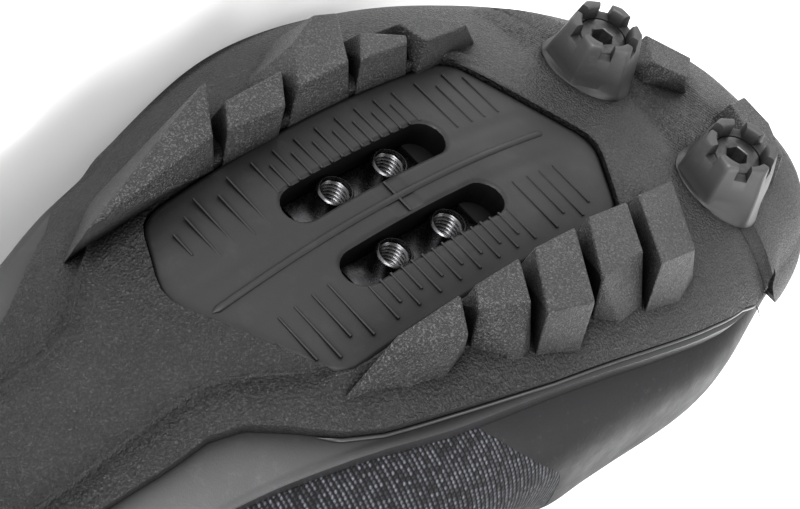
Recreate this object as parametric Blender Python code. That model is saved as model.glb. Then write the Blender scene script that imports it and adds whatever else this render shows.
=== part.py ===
"""Off-road cycling shoe, right foot, lying on its outer side.

The shoe is modelled upright: +X to the toe, +Y to the inner (big toe) side, +Z up, with the
origin on the face of the cleat insert, midway between its four threaded barrels. At the end it
is laid on its outer side, sole towards -Y and toe towards -X, with the floor at Z = 0.
Metres, +Z up.
"""

import math
from collections import namedtuple

import bmesh
import bpy
import numpy as np
from mathutils import Matrix, Vector
from mathutils.bvhtree import BVHTree

# Driving dimensions
LAST_LENGTH = 0.283
CLEAT_TO_TOE = 0.36042 * LAST_LENGTH
BALL_WIDTH = 0.092
HEEL_LIFT = 0.0205
TOE_SPRING = 0.0192
SOLE_STACK = 0.0085
SIDE_HEIGHT = 0.050
INSTEP_HEIGHT = 0.127
GAP = 0.00035

UPPER_WALL = 0.0020
COLLAR_PADDING = 0.0040
COLLAR_PADDING_DEPTH = 0.030
THROAT_WIDTH = 0.030
TONGUE_THICKNESS = 0.0035
STRAP_THICKNESS = 0.0018
STRAP_WIDTH = 0.022
INSOLE_THICKNESS = 0.0030

SHELL_THICKNESS = 0.0024
TREAD_EDGE = 0.0009
BUMPER_WALL = 0.0022
LUG_HEIGHT = 0.0055
LUG_ROOT = 0.0012
HEEL_GROUND = 0.0065

INSERT_LENGTH = 0.086
INSERT_WIDTH = 0.0395
INSERT_RECESS = 0.0003
SLOT_WIDTH = 0.0069
SLOT_LENGTH = 0.034
BOLT_SPACING_X = 0.012
BOLT_SPACING_Y = 0.014
BOLT_OFFSET = -0.0006
BARREL_RADIUS = 0.00305
BARREL_BORE = 0.0021
BARREL_SINK = 0.0027
NUT_PLATE_THICKNESS = 0.0016
NUT_PLATE_LENGTH = 0.026
NUT_PLATE_WIDTH = 0.024
CLEAT_SEAT = 0.0060

STUD_HEIGHT = 0.0105
STUD_BASE_RADIUS = 0.0090
STUD_TOP_RADIUS = 0.0068
STUD_BORE_RADIUS = 0.0046
STUD_NOTCH = 0.0030
STUD_NOTCH_DEPTH = 0.0032
SCREW_HEAD_HEIGHT = 0.0040
SCREW_SOCKET = 0.0021
SCREW_SINK = 0.0026

# The last: a row for each section from heel to toe. Station is a share of LAST_LENGTH, inner
# and outer are half widths in shares of BALL_WIDTH, heel and toe are the rises of the tread
# face in shares of HEEL_LIFT and TOE_SPRING, stack is the sole's thickness in shares of
# SOLE_STACK, wide is the height of the widest point in shares of SIDE_HEIGHT, top is the ridge in
# shares of INSTEP_HEIGHT, and over and under are how square the section is above and below.
Section = namedtuple("Section", "station inner outer heel toe stack wide top over under")
SECTIONS = (
    Section(0.000, 0.326, 0.326, 1.070, 0.0, 1.35, 1.10, 0.913, 3.20, 2.60),
    Section(0.100, 0.353, 0.353, 0.940, 0.0, 1.55, 1.04, 0.953, 3.00, 2.80),
    Section(0.210, 0.353, 0.370, 1.000, 0.0, 1.35, 1.00, 1.000, 2.60, 2.70),
    Section(0.330, 0.364, 0.368, 0.990, 0.0, 0.94, 0.92, 0.969, 2.15, 2.50),
    Section(0.460, 0.413, 0.392, 0.500, 0.0, 0.82, 0.76, 0.787, 1.90, 2.40),
    Section(0.555, 0.472, 0.413, 0.120, 0.0, 0.965, 0.60, 0.638, 1.95, 2.80),
    Section(0.640, 0.493, 0.480, 0.000, 0.0, 1.00, 0.54, 0.543, 2.05, 3.20),
    Section(0.715, 0.496, 0.485, 0.000, 0.073, 1.00, 0.54, 0.480, 2.15, 3.40),
    Section(0.815, 0.480, 0.433, 0.000, 0.375, 0.965, 0.60, 0.441, 2.30, 3.40),
    Section(0.893, 0.412, 0.343, 0.000, 0.650, 0.94, 0.66, 0.421, 2.40, 3.20),
    Section(0.955, 0.402, 0.261, 0.000, 0.870, 0.94, 0.70, 0.394, 2.50, 3.00),
    Section(1.000, 0.365, 0.216, 0.000, 1.010, 0.94, 0.72, 0.370, 2.50, 3.00),
)
# How far each end takes to round off, in plan and in side view, in shares of BALL_WIDTH.
END_ROUNDING = {"toe": (0.435, 0.283, 2.2), "heel": (0.370, 0.100, 2.2)}
HEEL_LEAN = 0.0040

# Edges of the layers under the foot, as angles round the section in degrees from the middle of
# the bottom towards each side: 90 is the widest point and 180 the ridge.
Edge = namedtuple("Edge", "station tread_inner tread_outer shell_inner shell_outer")
EDGES = (
    Edge(0.000, 90, 90, 90, 90),
    Edge(0.060, 90, 90, 90, 90),
    Edge(0.100, 56, 56, 70, 70),
    Edge(0.140, 55, 55, 66, 66),
    Edge(0.190, 50, 50, 60, 60),
    Edge(0.215, 32, 34, 57, 58),
    Edge(0.240, 18, 19, 52, 55),
    Edge(0.330, 17, 17, 38, 46),
    Edge(0.400, 17, 19, 34, 44),
    Edge(0.428, 17, 24, 33, 45),
    Edge(0.445, 17, 28.5, 32.8, 47),
    Edge(0.458, 16.6, 33, 32.8, 49),
    Edge(0.475, 15.4, 40, 32.8, 54),
    Edge(0.493, 16.6, 48, 33, 60),
    Edge(0.510, 21, 59, 33.6, 66),
    Edge(0.530, 27.0, 66, 34.5, 71),
    Edge(0.550, 30.5, 69, 36, 74),
    Edge(0.585, 34, 70, 40, 75),
    Edge(0.650, 41.0, 68, 45.5, 73),
    Edge(0.718, 46.5, 65, 52, 70),
    Edge(0.785, 51, 62, 57, 67),
    Edge(0.820, 54.5, 61.5, 60.5, 66.5),
    Edge(0.840, 60, 64, 62, 66.5),
    Edge(0.865, 180, 180, 64.5, 67),
    Edge(1.000, 180, 180, 64.5, 67),
)
SHELL_TOE = 0.865
BUMPER_START = 0.872
# Side view of the edges that are trimmed square: the heel cups of tread and shell, and the
# bumper's tab and top, as shares of LAST_LENGTH ahead of the barrels and of SIDE_HEIGHT.
TREAD_CUP = ((-0.700, 0.80), (-0.600, 0.785), (-0.538, 0.775))
SHELL_CUP = ((-0.700, 1.02), (-0.600, 0.96), (-0.538, 0.88))
BUMPER_EDGE = (
    (0.165, 0.400), (0.190, 0.360), (0.206, 0.362), (0.2375, 0.385), (0.2400, 0.500), (0.2480, 0.560),
    (0.275, 0.650), (0.300, 0.790), (0.316, 0.940), (0.324, 1.100),
)

# Corners of the lugs, as shares of LAST_LENGTH ahead of the barrels and of BALL_WIDTH to the
# side. Each lug is the hull of a top outline and a foot outline round it.
Lug = namedtuple("Lug", "side top foot")
INNER, OUTER = 1, -1
LUGS = (
    Lug(INNER, ((-0.079, 0.232), (-0.034, 0.232), (-0.048, 0.297), (-0.077, 0.261)),
        ((-0.110, 0.258), (-0.034, 0.220), (-0.035, 0.297), (-0.062, 0.315), (-0.082, 0.222))),
    Lug(INNER, ((-0.023, 0.232), (0.012, 0.230), (-0.004, 0.307), (-0.033, 0.272)),
        ((-0.023, 0.220), (0.012, 0.218), (0.004, 0.318), (-0.034, 0.297), (-0.014, 0.345))),
    Lug(INNER, ((0.025, 0.228), (0.060, 0.229), (0.029, 0.363), (-0.001, 0.337)),
        ((0.025, 0.216), (0.060, 0.217), (0.047, 0.352), (0.000, 0.362), (0.020, 0.400))),
    Lug(INNER, ((0.074, 0.223), (0.110, 0.227), (0.087, 0.325), (0.046, 0.333)),
        ((0.074, 0.211), (0.110, 0.215), (0.092, 0.344), (0.052, 0.352), (0.066, 0.405))),
    Lug(INNER, ((0.123, 0.224), (0.160, 0.222), (0.124, 0.364), (0.091, 0.361)),
        ((0.123, 0.212), (0.163, 0.210), (0.143, 0.385), (0.085, 0.389), (0.105, 0.425))),
    Lug(OUTER, ((-0.057, 0.328), (-0.077, 0.233), (-0.160, 0.215)),
        ((-0.052, 0.345), (-0.072, 0.216), (-0.165, 0.236), (-0.126, 0.322))),
    Lug(OUTER, ((-0.058, 0.276), (-0.069, 0.225), (-0.031, 0.215), (-0.016, 0.278)),
        ((-0.048, 0.318), (-0.068, 0.212), (-0.031, 0.205), (0.002, 0.336), (-0.010, 0.340))),
    Lug(OUTER, ((0.030, 0.354), (0.045, 0.341), (0.024, 0.240), (-0.016, 0.236), (0.003, 0.317)),
        ((0.034, 0.432), (0.056, 0.420), (0.026, 0.212), (-0.022, 0.212), (-0.016, 0.350))),
    Lug(OUTER, ((0.047, 0.286), (0.075, 0.248), (0.070, 0.231), (0.032, 0.234)),
        ((0.055, 0.345), (0.084, 0.290), (0.074, 0.212), (0.030, 0.212))),
    Lug(OUTER, ((0.077, 0.277), (0.095, 0.278), (0.125, 0.239), (0.124, 0.228), (0.084, 0.222)),
        ((0.078, 0.345), (0.100, 0.345), (0.150, 0.262), (0.150, 0.236), (0.080, 0.205))),
)
TOE_LUGS = (
    Lug(INNER, ((0.275, -0.110), (0.294, -0.026), (0.270, 0.016), (0.254, -0.040)),
        ((0.280, -0.120), (0.304, -0.026), (0.278, 0.026), (0.246, -0.036), (0.252, -0.095))),
    Lug(INNER, ((0.305, 0.100), (0.302, 0.175), (0.282, 0.256), (0.268, 0.215), (0.285, 0.105)),
        ((0.312, 0.092), (0.310, 0.180), (0.280, 0.275), (0.258, 0.225), (0.277, 0.095))),
)
TOE_LUG_HEIGHT = 0.0042
# Heel lugs, outlined the same way from the barrels back, inner side first.
HEEL_LUGS = (
    ((-0.420, 0.080), (-0.420, 0.240), (-0.468, 0.262), (-0.458, 0.090)),
    ((-0.482, 0.095), (-0.492, 0.265), (-0.545, 0.250), (-0.525, 0.100)),
    ((-0.550, 0.100), (-0.570, 0.240), (-0.606, 0.170), (-0.598, 0.060)),
)
HEEL_LUG_SPREAD = 0.0025

SHELL_OUTER = GAP + SHELL_THICKNESS
HEEL_X = CLEAT_TO_TOE - LAST_LENGTH
# Stations and angles of the grid that every layer shares, closest where the last bends most.
STATIONS = (
    0.0, 0.003, 0.012, 0.0265, 0.048, 0.075, 0.108, 0.145, 0.180, 0.215, 0.240, 0.285, 0.335, 0.380,
    0.415, 0.445, 0.475, 0.510, 0.545, 0.582, 0.620, 0.660, 0.700, 0.738, 0.775, 0.812, 0.840, 0.865,
    0.872, 0.896, 0.922, 0.948, 0.970, 0.985, 0.9955, 1.0,
)
ANGLES = (0, 8, 18, 29, 41, 55, 70, 86, 102, 119, 136, 152, 166, 180)

# Where the top line of the collar runs, from behind the heel to past the throat: shares of
# LAST_LENGTH and of INSTEP_HEIGHT.
COLLAR_LINE = (
    (-0.030, 0.800), (0.030, 0.785), (0.085, 0.735), (0.150, 0.675), (0.215, 0.668),
    (0.280, 0.735), (0.340, 0.850), (0.385, 0.960), (0.400, 1.060),
)
THROAT = (0.360, 0.655)
INSOLE = (0.0265, 0.970)
INSERT_REGION = (0.475, 0.812)
TONGUE = (0.285, 0.700)
TONGUE_EDGE = 136
# Straps: where the middle of each crosses the ridge, how far it leans back per unit of height,
# and how far down both sides it comes, as a share of SIDE_HEIGHT.
Strap = namedtuple("Strap", "name station slant low")
STRAPS = (
    Strap("strap_front", 0.625, 0.12, 0.90),
    Strap("strap_middle", 0.530, 0.12, 0.98),
    Strap("strap_instep", 0.432, 0.06, 1.02),
)


# What each material weighs, in kilograms per cubic metre, to find how the shoe lies.
DENSITIES = {"rubber": 1200, "insert plastic": 1100, "sole shell plastic": 1100,
             "blackened steel": 7850, "upper film and cloth": 900, "tongue cloth": 300,
             "strap webbing": 300, "insole foam": 300}


def clear_scene():
    for thing in list(bpy.data.objects):
        bpy.data.objects.remove(thing)
    for group in list(bpy.data.collections):
        bpy.data.collections.remove(group)


def collection(name):
    group = bpy.data.collections.new(name)
    bpy.context.scene.collection.children.link(group)
    return group


def material(name, colour, roughness, metallic=0.0):
    made = bpy.data.materials.new(name)
    made.use_nodes = True
    shader = made.node_tree.nodes["Principled BSDF"]
    shader.inputs["Base Color"].default_value = (*colour, 1.0)
    shader.inputs["Roughness"].default_value = roughness
    shader.inputs["Metallic"].default_value = metallic
    return made


def spline(stations, values):
    """A smooth curve through the values, as a function of the station."""
    stations = np.asarray(stations, float)
    values = np.asarray(values, float)
    spans = np.diff(stations)
    slopes = np.diff(values) / spans
    count = len(stations)
    system = np.eye(count)
    right = np.zeros(count)
    for i in range(1, count - 1):
        system[i, i - 1 : i + 2] = spans[i - 1], 2 * (spans[i - 1] + spans[i]), spans[i]
        right[i] = 6 * (slopes[i] - slopes[i - 1])
    bend = np.linalg.solve(system, right)

    def value(at):
        i = int(np.clip(np.searchsorted(stations, at) - 1, 0, count - 2))
        t = at - stations[i]
        start = slopes[i] - spans[i] * (2 * bend[i] + bend[i + 1]) / 6
        cubic = (bend[i + 1] - bend[i]) / (6 * spans[i])
        return float(values[i] + t * start + t * t * bend[i] / 2 + t**3 * cubic)

    return value


CURVES = {
    name: spline([row.station for row in SECTIONS], [getattr(row, name) for row in SECTIONS])
    for name in Section._fields[1:]
}


def smooth_step(value):
    t = min(max(value, 0.0), 1.0)
    return t * t * (3 - 2 * t)


def ending(station, view):
    """1 along the shoe, falling to 0 at both tips on a rounded line; view 0 is plan, 1 is side."""
    result = 1.0
    for tip, end in ((1.0, "toe"), (0.0, "heel")):
        reach = END_ROUNDING[end][view] * BALL_WIDTH / LAST_LENGTH
        power = END_ROUNDING[end][2]
        t = min(max(1 - abs(tip - station) / reach, 0.0), 1.0)
        result *= (1 - t**power) ** (1 / power)
    return result


def tread_height(station):
    return HEEL_LIFT * CURVES["heel"](station) + TOE_SPRING * CURVES["toe"](station)


def last_point(station, angle):
    """A point of the upper's outer face; angle is in degrees round the section."""
    at = {name: curve(station) for name, curve in CURVES.items()}
    middle = BALL_WIDTH * (at["inner"] - at["outer"]) / 2
    half = BALL_WIDTH * (at["inner"] + at["outer"]) / 2 * ending(station, 0)
    bed = tread_height(station) + SOLE_STACK * at["stack"]
    wide = SIDE_HEIGHT * at["wide"]
    top = INSTEP_HEIGHT * at["top"]
    turn = math.radians(min(abs(angle), 180))
    power = 2 / (at["under"] if abs(angle) < 90 else at["over"])
    across = math.copysign(max(math.sin(turn), 0.0) ** power, angle)
    reach = abs(math.cos(turn)) ** power * ending(station, 1)
    height = wide - (wide - bed) * reach if abs(angle) < 90 else wide + (top - wide) * reach
    x = HEEL_X + LAST_LENGTH * station
    lean = HEEL_LEAN * ((height - SIDE_HEIGHT) / (SIDE_HEIGHT / 2)) ** 2 * math.exp(-((station / 0.15) ** 2))
    return Vector((x + lean, middle + half * across, height))


def station_of(share):
    """Stations crowd towards both tips, where the sections shrink fastest."""
    return (1 - math.cos(math.pi * share)) / 2


def share_of(station):
    return math.acos(min(max(1 - 2 * station, -1.0), 1.0)) / math.pi


def last_normal(station, angle):
    share = share_of(station)
    step = 1e-4
    ahead = station_of(min(share + step, 1.0))
    behind = station_of(max(share - step, 0.0))
    along = last_point(ahead, angle) - last_point(behind, angle)
    turned = 0.05
    limit = min(max(angle, -180 + turned), 180 - turned)
    around = last_point(station, limit + turned) - last_point(station, limit - turned)
    normal = around.cross(along)
    if normal.length < 1e-12:
        return Vector((1.0 if station > 0.5 else -1.0, 0.0, 0.0))
    return normal.normalized()


def offset_point(station, angle, distance):
    return last_point(station, angle) + distance * last_normal(station, angle)


def edge_angle(column, station):
    return float(np.interp(station, [row.station for row in EDGES], [getattr(row, column) for row in EDGES]))


def mesh_object(name, points, faces, group, surface=None):
    mesh = bpy.data.meshes.new(name)
    mesh.from_pydata([tuple(p) for p in points], [], faces)
    work = bmesh.new()
    work.from_mesh(mesh)
    bmesh.ops.remove_doubles(work, verts=work.verts, dist=2e-6)
    bmesh.ops.dissolve_degenerate(work, edges=work.edges, dist=1e-6)
    bmesh.ops.recalc_face_normals(work, faces=work.faces)
    work.to_mesh(mesh)
    work.free()
    thing = bpy.data.objects.new(name, mesh)
    group.objects.link(thing)
    if surface:
        mesh.materials.append(surface)
        mesh.shade_smooth()
        mesh.set_sharp_from_angle(angle=math.radians(35))
    return thing


def thick_sheet(name, grid, inner, outer, group, surface=None):
    """A closed solid between two offsets of the last. The grid holds rows of (station, angle);
    points that fall together are welded, so a row may close on itself or shrink to a point."""
    index = {}
    low = []
    high = []

    def vertex(place):
        point = last_point(*place)
        key = tuple(round(value * 2e5) for value in point)
        if key not in index:
            index[key] = len(low)
            normal = last_normal(*place)
            low.append(point + inner(*place) * normal)
            high.append(point + outer(*place) * normal)
        return index[key]

    numbers = [[vertex(place) for place in row] for row in grid]
    sheet = []
    for before, after in zip(numbers, numbers[1:]):
        for j in range(len(before) - 1):
            a, b, c, d = before[j], before[j + 1], after[j + 1], after[j]
            sheet += [ring for ring in ((a, b, c), (a, c, d)) if len(set(ring)) == 3]
    directed = {(ring[k - 1], ring[k]) for ring in sheet for k in range(len(ring))}
    rim = [edge for edge in directed if (edge[1], edge[0]) not in directed]
    count = len(low)
    faces = [tuple(ring) for ring in sheet]
    faces += [tuple(count + c for c in reversed(ring)) for ring in sheet]
    faces += [(b, a, count + a, count + b) for a, b in rim]
    return mesh_object(name, low + high, faces, group, surface)


def under_rows(inner_edge, outer_edge, first=0.0, last=1.0, angles=ANGLES, every=1):
    """Rows of a layer under the foot, cut at the two edge angles."""
    picked = [s for s in STATIONS if first <= s <= last]
    picked = [s for k, s in enumerate(picked) if k % every == 0 or s in (first, last)]
    ring = [-a for a in reversed(angles[1:])] + list(angles)
    rows = []
    for s in picked:
        low, high = -outer_edge(s), inner_edge(s)
        rows.append([(s, min(max(angle, low), high)) for angle in ring])
    return rows


def spread(station, angle):
    """0 in the middle of the tread and 1 at its edge, measured across the shoe."""
    edge = min(max(edge_angle("tread_inner" if angle >= 0 else "tread_outer", station), 50), 62)
    here = last_point(station, angle)
    side = last_point(station, math.copysign(edge, angle))
    middle = last_point(station, 0)
    return min(abs(here.y - middle.y) / max(abs(side.y - middle.y), 1e-6), 1.0)


def tread_inner_offset(station, angle):
    """The tread covers the shell, and ahead of the shell it lies on the upper."""
    return GAP if station > (SHELL_TOE + BUMPER_START) / 2 else SHELL_OUTER + GAP


def tread_outer_offset(station, angle):
    """Thin at the edge and full in the middle; round the toe it thins to the bumper's wall."""
    reach = 0.007 + 0.058 * smooth_step((70 - abs(angle)) / 29)
    edge = SHELL_OUTER + GAP + TREAD_EDGE
    thin = edge + (GAP + BUMPER_WALL - edge) * smooth_step((station - SHELL_TOE) / reach)
    full = SOLE_STACK * CURVES["stack"](station)
    fade = smooth_step((1 - station) / 0.05) * smooth_step(station / 0.02 + 0.35)
    power = 4 + 3 * smooth_step((0.3 - station) / 0.15)
    return max(thin + (full - thin) * (1 - spread(station, angle) ** power) * fade, thin)


def side_trim(name, line, tools, ahead=0.0):
    """A cutter that takes away everything above a line in side view."""
    low = [(x * LAST_LENGTH, z * SIDE_HEIGHT) for x, z in line]
    high = INSTEP_HEIGHT
    outline = low + [(low[-1][0] + ahead, high), (low[0][0], high)]
    return prism(name, outline, "XZ", -BALL_WIDTH, BALL_WIDTH, tools)


def make_outsole(parts, surface):
    rows = under_rows(
        lambda s: edge_angle("tread_inner", s), lambda s: edge_angle("tread_outer", s)
    )
    return thick_sheet("outsole", rows, tread_inner_offset, tread_outer_offset, parts, surface)


def make_shell(parts, tools, surface):
    rows = under_rows(
        lambda s: edge_angle("shell_inner", s), lambda s: edge_angle("shell_outer", s), last=SHELL_TOE
    )
    shell = thick_sheet("sole_shell", rows, lambda s, a: GAP, lambda s, a: SHELL_OUTER, parts, surface)
    cut(shell, side_trim("shell_cup", SHELL_CUP, tools))
    return shell


def collar_height(station):
    return INSTEP_HEIGHT * float(np.interp(station, [p[0] for p in COLLAR_LINE], [p[1] for p in COLLAR_LINE]))


def upper_inner_offset(station, angle):
    point = last_point(station, angle)
    below = (collar_height(station) - point.z) / COLLAR_PADDING_DEPTH
    padding = COLLAR_PADDING * smooth_step(1.15 - abs(below)) * smooth_step((THROAT[0] + 0.03 - station) / 0.08)
    return -(UPPER_WALL + padding)


def make_upper(parts, tools, surface):
    """The hollow upper: the margin under the foot closes at both tips, and the collar and the
    throat are cut out of the ridge."""
    margin_heel, margin_toe = 0.035, 0.955

    def margin(station):
        return 26 * smooth_step((station - margin_heel) / 0.04) * smooth_step((margin_toe - station) / 0.04)

    ring = list(ANGLES) + [360 - a for a in reversed(ANGLES[:-1])]
    rows = []
    for s in STATIONS:
        row = []
        for angle in ring:
            inside = min(max(angle, margin(s)), 360 - margin(s))
            row.append((s, inside if inside <= 180 else inside - 360))
        rows.append(row)
    upper = thick_sheet("upper", rows, upper_inner_offset, lambda s, a: 0.0, parts, surface)
    line = [(HEEL_X + s * LAST_LENGTH, z * INSTEP_HEIGHT) for s, z in smooth_line(COLLAR_LINE)]
    high = INSTEP_HEIGHT * 1.5
    outline = line + [(line[-1][0], high), (line[0][0], high)]
    collar = prism("collar_cutter", outline, "XZ", -BALL_WIDTH, BALL_WIDTH, tools)
    cut(upper, collar)
    back, front = (HEEL_X + s * LAST_LENGTH for s in THROAT)
    slot = rounded_bar(back, front, THROAT_WIDTH / 2)
    throat = prism("throat_cutter", slot, "XY", SIDE_HEIGHT * 0.8, high, tools)
    cut(upper, throat)
    return upper


def smooth_line(points, per_span=3):
    curve = spline([p[0] for p in points], [p[1] for p in points])
    line = []
    for (a, _), (b, _) in zip(points, points[1:]):
        line += [(a + (b - a) * k / per_span, curve(a + (b - a) * k / per_span)) for k in range(per_span)]
    return line + [points[-1]]


def rounded_bar(back, front, half, turns=6):
    """Plan outline of a slot that is square behind and round in front."""
    outline = [(back, -half)]
    for k in range(turns + 1):
        turn = math.pi * (k / turns - 0.5)
        outline.append((front - half + half * math.cos(turn), half * math.sin(turn)))
    return outline + [(back, half)]


def prism(name, outline, plane, low, high, group, surface=None):
    """A straight prism on an outline in the XY or XZ plane."""
    count = len(outline)
    points = []
    for level in (low, high):
        for a, b in outline:
            points.append((a, b, level) if plane == "XY" else (a, level, b))
    faces = [tuple(range(count)), tuple(reversed(range(count, 2 * count)))]
    faces += [(i, (i + 1) % count, count + (i + 1) % count, count + i) for i in range(count)]
    return mesh_object(name, points, faces, group, surface)


def cut(thing, cutter, operation="DIFFERENCE"):
    modifier = thing.modifiers.new(cutter.name, "BOOLEAN")
    modifier.operation = operation
    modifier.object = cutter


def make_tongue(parts, surface):
    first, last = TONGUE
    angles = [a for a in ANGLES if a >= TONGUE_EDGE]
    ring = angles + [-a for a in reversed(angles[:-1])]
    deep = -(UPPER_WALL + COLLAR_PADDING + GAP)
    near = -(UPPER_WALL + GAP)

    def face(station, angle):
        return near + (deep - near) * smooth_step((THROAT[0] + 0.10 - station) / 0.09)

    def back(station, angle):
        return face(station, angle) - TONGUE_THICKNESS

    rows = [[(s, a) for a in ring] for s in STATIONS if first <= s <= last]
    return thick_sheet("tongue", rows, back, face, parts, surface)


def make_strap(row, parts, tools, surface):
    """A band over the upper, cut by a leaning slab so that its face keeps the upper's shape."""
    lowest = row.low * SIDE_HEIGHT
    half = STRAP_WIDTH / 2
    ridge = INSTEP_HEIGHT * CURVES["top"](row.station)
    middle = HEEL_X + LAST_LENGTH * row.station
    lean = row.slant
    top = ridge + SIDE_HEIGHT
    outline = [
        (middle - half + lean * (ridge - lowest), lowest), (middle + half + lean * (ridge - lowest), lowest),
        (middle + half - lean * (top - ridge), top), (middle - half - lean * (top - ridge), top),
    ]
    reach = [(point[0] - HEEL_X) / LAST_LENGTH for point in outline]
    inside = [s for s in STATIONS if min(reach) <= s <= max(reach)]
    first, last = STATIONS.index(inside[0]) - 1, STATIONS.index(inside[-1]) + 2
    ring = [a for a in ANGLES if a >= 55]
    ring += [-a for a in reversed(ring[:-1])]
    rows = [[(s, a) for a in ring] for s in STATIONS[first:last]]
    strap = thick_sheet(row.name, rows, lambda s, a: GAP, lambda s, a: GAP + STRAP_THICKNESS, parts, surface)
    cut(strap, prism(f"{row.name}_slab", outline, "XZ", -BALL_WIDTH, BALL_WIDTH, tools), "INTERSECT")
    return strap


def make_insole(parts, surface):
    top = -(UPPER_WALL + 2 * GAP)
    angles = (0, 18, 41, 55)

    def edge(station):
        near_tip = min(station - INSOLE[0], INSOLE[1] - station)
        return 20 + 30 * min(near_tip / 0.03, 1.0) ** 0.5

    rows = under_rows(edge, edge, first=INSOLE[0], last=INSOLE[1], angles=angles, every=2)
    return thick_sheet("insole", rows, lambda s, a: top - INSOLE_THICKNESS, lambda s, a: top, parts, surface)


def insert_outline(clearance=0.0):
    """Plan outline of the cleat insert, a long hexagon with its corners rounded."""
    half_length = INSERT_LENGTH / 2 + clearance
    half = INSERT_WIDTH / 2 + clearance
    skew = 0.06 * INSERT_LENGTH
    corners = (
        (half_length * 1.045, skew), (half_length * 0.80, half), (-half_length * 0.66, half),
        (-half_length * 0.955, -skew * 1.2), (-half_length * 0.80, -half), (half_length * 0.72, -half),
    )
    outline = []
    count = len(corners)
    for i, corner in enumerate(corners):
        here = Vector(corner)
        before = Vector(corners[i - 1]) - here
        after = Vector(corners[(i + 1) % count]) - here
        reach = min(0.10 * INSERT_WIDTH, before.length / 3, after.length / 3)
        start = here + before.normalized() * reach
        end = here + after.normalized() * reach
        for k in range(4):
            t = k / 3
            outline.append(tuple((1 - t) ** 2 * start + 2 * t * (1 - t) * here + t * t * end))
    return outline


def insert_region_rows():
    first, last = INSERT_REGION
    picked = [s for s in STATIONS if first <= s <= last]
    angles = [a for a in ANGLES if a <= 29]
    ring = [-a for a in reversed(angles[1:])] + angles
    return [[(s, a) for a in ring] for s in picked]


def make_insert(parts, tools, surface):
    clear = SHELL_OUTER + GAP
    insert = thick_sheet(
        "cleat_insert",
        insert_region_rows(),
        lambda s, a: clear,
        lambda s, a: max(SOLE_STACK * CURVES["stack"](s) - INSERT_RECESS, clear + 0.001),
        parts,
        surface,
    )
    low, high = -0.02, 0.03
    cut(insert, prism("insert_outline", insert_outline(), "XY", low, high, tools), "INTERSECT")
    for side in (-1, 1):
        cut(insert, slot_cutter(f"slot_cutter_{side + 1}", side, tools))
    cut(insert, cleat_seat_cutter(tools))
    return insert


def slot_cutter(name, side, tools, turns=6):
    half = SLOT_WIDTH / 2
    straight = SLOT_LENGTH / 2 - half
    outline = []
    for end in (1, -1):
        for k in range(turns + 1):
            turn = math.pi * (k / turns - 0.5)
            outline.append((
                BOLT_OFFSET + end * (straight + half * math.cos(turn)),
                side * BOLT_SPACING_Y / 2 + end * half * math.sin(turn),
            ))
    return prism(name, outline, "XY", -0.01, 0.02, tools)


def cleat_seat_cutter(tools):
    """Planes a small flat spot between the slots, where the cleat seats."""
    outline = [(x, y) for x, y in ((-1, -1), (1, -1), (1, 1), (-1, 1))]
    placed = [(BOLT_OFFSET + x * CLEAT_SEAT / 2, y * CLEAT_SEAT / 2) for x, y in outline]
    return prism("cleat_seat_cutter", placed, "XY", -0.02, INSERT_RECESS + 0.00015, tools)


def cylinder(name, centre, radius, low, high, group, sides=16, surface=None, turned=0.0):
    outline = []
    for k in range(sides):
        turn = 2 * math.pi * k / sides + turned
        outline.append((centre[0] + radius * math.cos(turn), centre[1] + radius * math.sin(turn)))
    return prism(name, outline, "XY", low, high, group, surface)


def make_nut_plate(parts, tools, surface):
    """The threaded plate lies in a window of the shell, with its barrels down in the slots."""
    bed = SOLE_STACK - GAP
    seat = bed - NUT_PLATE_THICKNESS
    x, y = NUT_PLATE_LENGTH / 2, NUT_PLATE_WIDTH / 2
    outline = [(BOLT_OFFSET - x, -y), (BOLT_OFFSET + x, -y), (BOLT_OFFSET + x, y), (BOLT_OFFSET - x, y)]
    plate = prism("nut_plate", outline, "XY", seat, bed, parts, surface)
    for k, (i, j) in enumerate(((-1, -1), (-1, 1), (1, -1), (1, 1))):
        centre = (BOLT_OFFSET + i * BOLT_SPACING_X / 2, j * BOLT_SPACING_Y / 2)
        cut(plate, cylinder(f"barrel_{k}", centre, BARREL_RADIUS, BARREL_SINK, seat + 0.0005, tools), "UNION")
        cut(plate, cylinder(f"bore_{k}", centre, BARREL_BORE, 0.0, 0.02, tools))
    return plate


def nut_window_cutter(tools):
    x, y = NUT_PLATE_LENGTH / 2 + GAP, NUT_PLATE_WIDTH / 2 + GAP
    outline = [(BOLT_OFFSET - x, -y), (BOLT_OFFSET + x, -y), (BOLT_OFFSET + x, y), (BOLT_OFFSET - x, y)]
    return prism("nut_window_cutter", outline, "XY", 0.0, 0.02, tools)


def surface_of(thing):
    """A probe that gives the heights of a sheet's lower and upper face at a place in plan."""
    mesh = thing.data
    tree = BVHTree.FromPolygons([v.co for v in mesh.vertices], [p.vertices for p in mesh.polygons])
    up = Vector((0, 0, 1))

    def heights(x, y):
        lower = tree.ray_cast(Vector((x, y, -0.1)), up)[0]
        if lower is None:
            return None
        upper = tree.ray_cast(lower + up * 0.0001, up)[0]
        return lower.z, (upper.z if upper else lower.z)

    return heights


def lug_hull(name, top, foot, tools):
    work = bmesh.new()
    for point in list(top) + list(foot):
        work.verts.new(point)
    bmesh.ops.convex_hull(work, input=work.verts)
    kept = {v for f in work.faces for v in f.verts}
    for vertex in [v for v in work.verts if v not in kept]:
        work.verts.remove(vertex)
    bmesh.ops.recalc_face_normals(work, faces=work.faces)
    mesh = bpy.data.meshes.new(name)
    work.to_mesh(mesh)
    work.free()
    thing = bpy.data.objects.new(name, mesh)
    tools.objects.link(thing)
    return thing


def lug_plane(x, rise):
    """Height of the plane that the lug tops lie on, which follows the cleat face."""
    return tread_height((x - HEEL_X) / LAST_LENGTH) - rise


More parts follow.
